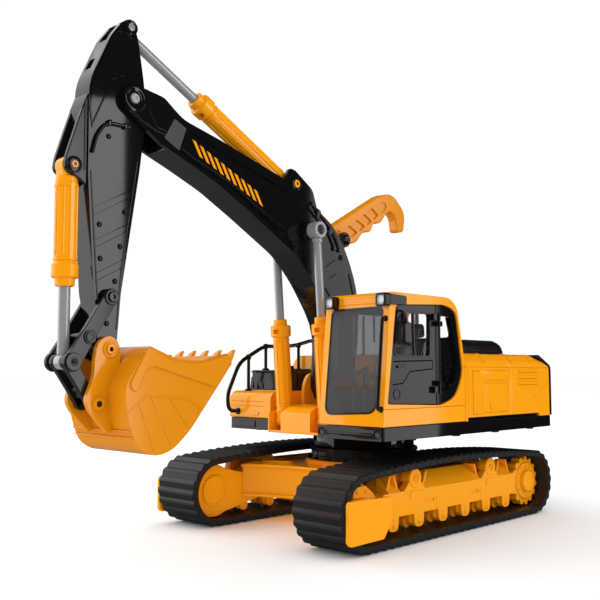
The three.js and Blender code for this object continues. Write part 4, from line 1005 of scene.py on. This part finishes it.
piece("bucket_cylinder_axle", "arm", ORANGE, [pin_with_cup(*BUCKET_CYL_FOOT, 9.8, 2.2)],
    "bucket_cylinder_pin")
piece("lever_axle", "arm", BLACK, [pin_with_cup(*LEVER_PIN, 14.7, 3.1)], "lever_pivot_pin")
piece("bucket_axle", "arm", ORANGE, [pin_with_cup(*BUCKET_PIN, 14.7, 3.1)], "bucket_pivot_pin")


def strap(a, b, r0, r1, y0, y1):
    """A flat link with a rounded eye at each end and a slight waist."""
    waist = 0.41 * (r0 + r1)
    run = (Vector(b) - Vector(a)).normalized()
    across = Vector((-run.y, run.x))

    def at(p, r, sign):
        return tuple(Vector(p) + across * r * sign)

    middle = (Vector(a) + Vector(b)) / 2
    web = [at(a, r0 * 0.9, 1), (*at(middle, waist, 1), 8), at(b, r1 * 0.9, 1), at(b, r1 * 0.9, -1),
        (*at(middle, waist, -1), 8), at(a, r0 * 0.9, -1)]
    return [plate(web, y0, y1, 0.5, 2), disk(*a, r0, y0, y1, 0.6), disk(*b, r1, y0, y1, 0.6)]


def collar(x, z, y, hand, outer, inner, height):
    """A raised ring round a bore in a side face at y."""
    rim = ((-0.3, outer), (height - 0.4, outer), (height, outer - 0.4), (height, inner + 0.4),
        (height - 0.4, inner))
    return turned(rim, x, z, hand, y)


lever_parts, link_parts = [], []
for hand in (1, -1):
    lever_parts += strap(LEVER_PIN, LINK_TOP, 5.5, 6.2, hand * 9, hand * 12.4)
    lever_parts += [collar(*LEVER_PIN, hand * 12.4, hand, 5.2, 3.3, 1.0),
        collar(*LINK_TOP, hand * 12.4, hand, 5.6, 2.4, 0.9), bolt(*LINK_TOP, hand * 12.4, hand, 1.8,
        1.0), disk(*LINK_TOP, 3, hand * 4.4, hand * 9.6, 0.3)]
    lever_parts += [disk(279.3, 144.5, 4.4, hand * 9, hand * 13.4, 0.5, 32),
        collar(279.3, 144.5, hand * 13.4, hand, 3.4, 1.6, 0.8)]
    link_parts += strap(LINK_TOP, LINK_LOW, 5.2, 4.6, hand * 4.3, hand * 8.4)
lever_parts.append(disk(280.5, 145.5, 2, -9.8, 9.8, 0.2, 24))
link_parts += strap((279.5, 112.5), (276.8, 108.6), 2.4, 2.4, -8, 8)
piece("lever_straps", "bucket_lever", DARK, lever_parts, "bucket_lever")
piece("link_straps", "bucket_link", DARK, link_parts, "bucket_link")

# ------------------------------------------------------------------ bucket
parts = [solid_of("bucket_shell", 0.8, 3)]
band = [(250.2, 138.9, 1), (235, 131.6, 4), (228.6, 129.8, 4), (215.6, 128.6, 6), (205, 129.4, 6),
    (183.9, 134.6, 1), (182.0, 130.4), (195.4, 112.8, 1), (223.6, 120.3, 2), (246.4, 126.6, 3),
    (252.6, 124, 3), (258, 110.8, 2.5), (262.6, 112, 2.5), (263.6, 116, 2)]
frame_line = [(264.2, 98.2), (252.0, 107.5), (238.9, 107.6), (217.3, 105.2), (208.1, 99.6),
    (210.4, 95.2)]
rib_lines = ((256.5, 103.8, 244.9, 74.4), (247.4, 107.4, 231.7, 77.2), (233.1, 106.6, 218.0, 87.4))
for hand in (1, -1):
    y = hand * BUCKET_FACE
    parts += rail(frame_line, y, hand, 1.0, 0.5)
    for x0, z0, x1, z1 in rib_lines:
        parts += rail([(x0, z0), (x1, z1)], y, hand, 1.0, 0.5)
    parts += [plate(band, y - hand * 0.3, y + hand * 1.4, 0.7, 3, 6)]
    parts += [collar(*BUCKET_PIN, hand * 13, hand, 5.6, 3.4, 0.9), collar(*LINK_LOW, hand * 14.3,
        hand, 4.0, 2.2, 1.1)]
for x, z in ((262.3, 86.6), (260.7, 82.2)):
    parts.append(disk(x, z, 0.55, -32.6, 32.6, 0.2, 12))
# The bucket takes the darker orange copy, painted shade.
piece("bucket_tub", "bucket", PAINTED_SHADE_ORANGE, parts, "bucket_shell")
piece("link_axle", "bucket", DARK, [disk(*LINK_LOW, 2.0, *sorted((hand * 14.2, hand * 15.1)), 0.2)
    for hand in (1, -1)])

RUN, RISE, LIP = Vector((-0.633, 0.774)), Vector((0.437, 0.9)), Vector((180.04, 128.77))
TOOTH_PITCH = 14.2


def at_edge(run, rise):
    """A point counted out from the lip and up from it."""
    return tuple(LIP + RUN * run + RISE * rise)


parts = [plate([at_edge(0, 0.1), at_edge(0, 4.5), at_edge(2.6, 4), at_edge(2.6, 0.3)], -31, 31,
    0.4)]
for i in range(-2, 3):
    middle = i * TOOTH_PITCH
    tooth = plate([at_edge(0.4, 0.2), at_edge(0.6, 4.4), at_edge(5.4, 3.9), at_edge(9.9, 2.2),
        at_edge(10.3, 1.4), at_edge(5.6, 0.4)], middle - 3.4, middle + 3.4, 0)
    for v in tooth.verts:
        run = (Vector((v.co.x, v.co.z)) - LIP).dot(RUN)
        v.co.y = middle + (v.co.y - middle) * (1 - 0.055 * run)
    parts.append(soften(tooth, 0.45, 2))
# The teeth take the darker orange copy, painted shade.
piece("cutting_edge_teeth", "bucket", PAINTED_SHADE_ORANGE, parts, "bucket_edge")


# ------------------------------------------------------------------ floor, light and camera
def stage_piece(name, radius, z, grey, sides=96):
    """A round sheet of matt paper under the model."""
    bm = bmesh.new()
    turns = [2 * math.pi * k / sides for k in range(sides)]
    bm.faces.new([bm.verts.new((radius * math.cos(t), radius * math.sin(t), z)) for t in turns])
    mesh = to_mesh(bm, name)
    paper = plastic(f"{name}_paper", (grey,) * 3, 0.9, grain=0.0, spread=0.02, shift=0.004)
    paper.node_tree.nodes["Principled BSDF"].inputs["Specular IOR Level"].default_value = 0
    mesh.materials.append(paper)
    o = bpy.data.objects.new(name, mesh)
    bpy.context.scene.collection.objects.link(o)
    return o


floor = stage_piece("floor", 14, -0.0004, 0.97)
floor.visible_glossy = floor.visible_diffuse = False
# A small darker sheet, seen only in the model's glossy sides
mirrored = stage_piece("floor_reflection", 0.62, -0.0002, 0.16)
mirrored.visible_camera = mirrored.visible_diffuse = False
mirrored.visible_transmission = mirrored.visible_shadow = False

scene = bpy.context.scene
world = bpy.data.worlds.new("studio")
scene.world = world
world.use_nodes = True
sky = world.node_tree.nodes["Background"].inputs
sky["Color"].default_value = (1, 1, 1, 1)
sky["Strength"].default_value = 1.02
world.cycles_visibility.glossy = False


def softbox(name, yaw0, yaw1, low, high, distance, radiance, target=(0, 0, 0.15)):
    """An area light that fills the given span of directions as seen from the target."""
    yaw, pitch = math.radians((yaw0 + yaw1) / 2), math.radians((low + high) / 2)
    away = Vector((math.cos(pitch) * math.cos(yaw), math.cos(pitch) * math.sin(yaw),
        math.sin(pitch)))
    wide = 2 * distance * math.tan(math.radians(abs(yaw1 - yaw0)) / 2)
    tall = 2 * distance * math.tan(math.radians(high - low) / 2)
    light = bpy.data.lights.new(name, "AREA")
    light.shape = "RECTANGLE"
    light.size, light.size_y = wide, tall
    light.energy = radiance * math.pi * wide * tall
    o = bpy.data.objects.new(name, light)
    o.location = Vector(target) + away * distance
    o.rotation_euler = away.to_track_quat("Z", "Y").to_euler()
    o.visible_camera = False
    scene.collection.objects.link(o)
    return o


ARM_SPOT, CAB_SPOT = (0.185, 0.0085, 0.3), (-0.01, 0.097, 0.13)
softbox("side_card", 112, 124.3, -24, 18, 2.0, 3.2, ARM_SPOT)
softbox("door_card", 138.5, 146.1, -10, 20, 2.0, 1.25, CAB_SPOT)
softbox("front_card", -98, -28, -12, 56, 2.2, 1.45)

camera = bpy.data.objects.new("camera", bpy.data.cameras.new("camera"))
camera.data.sensor_width = 36
camera.data.lens = 50.246
camera.data.clip_start = 0.02
camera.location = (0.48952, 0.46494, 0.12349)
camera.rotation_euler = Vector((-0.7186, -0.6902, 0.0846)).to_track_quat("-Z", "Y").to_euler()
scene.collection.objects.link(camera)
scene.camera = camera
scene.view_settings.view_transform = "Standard"
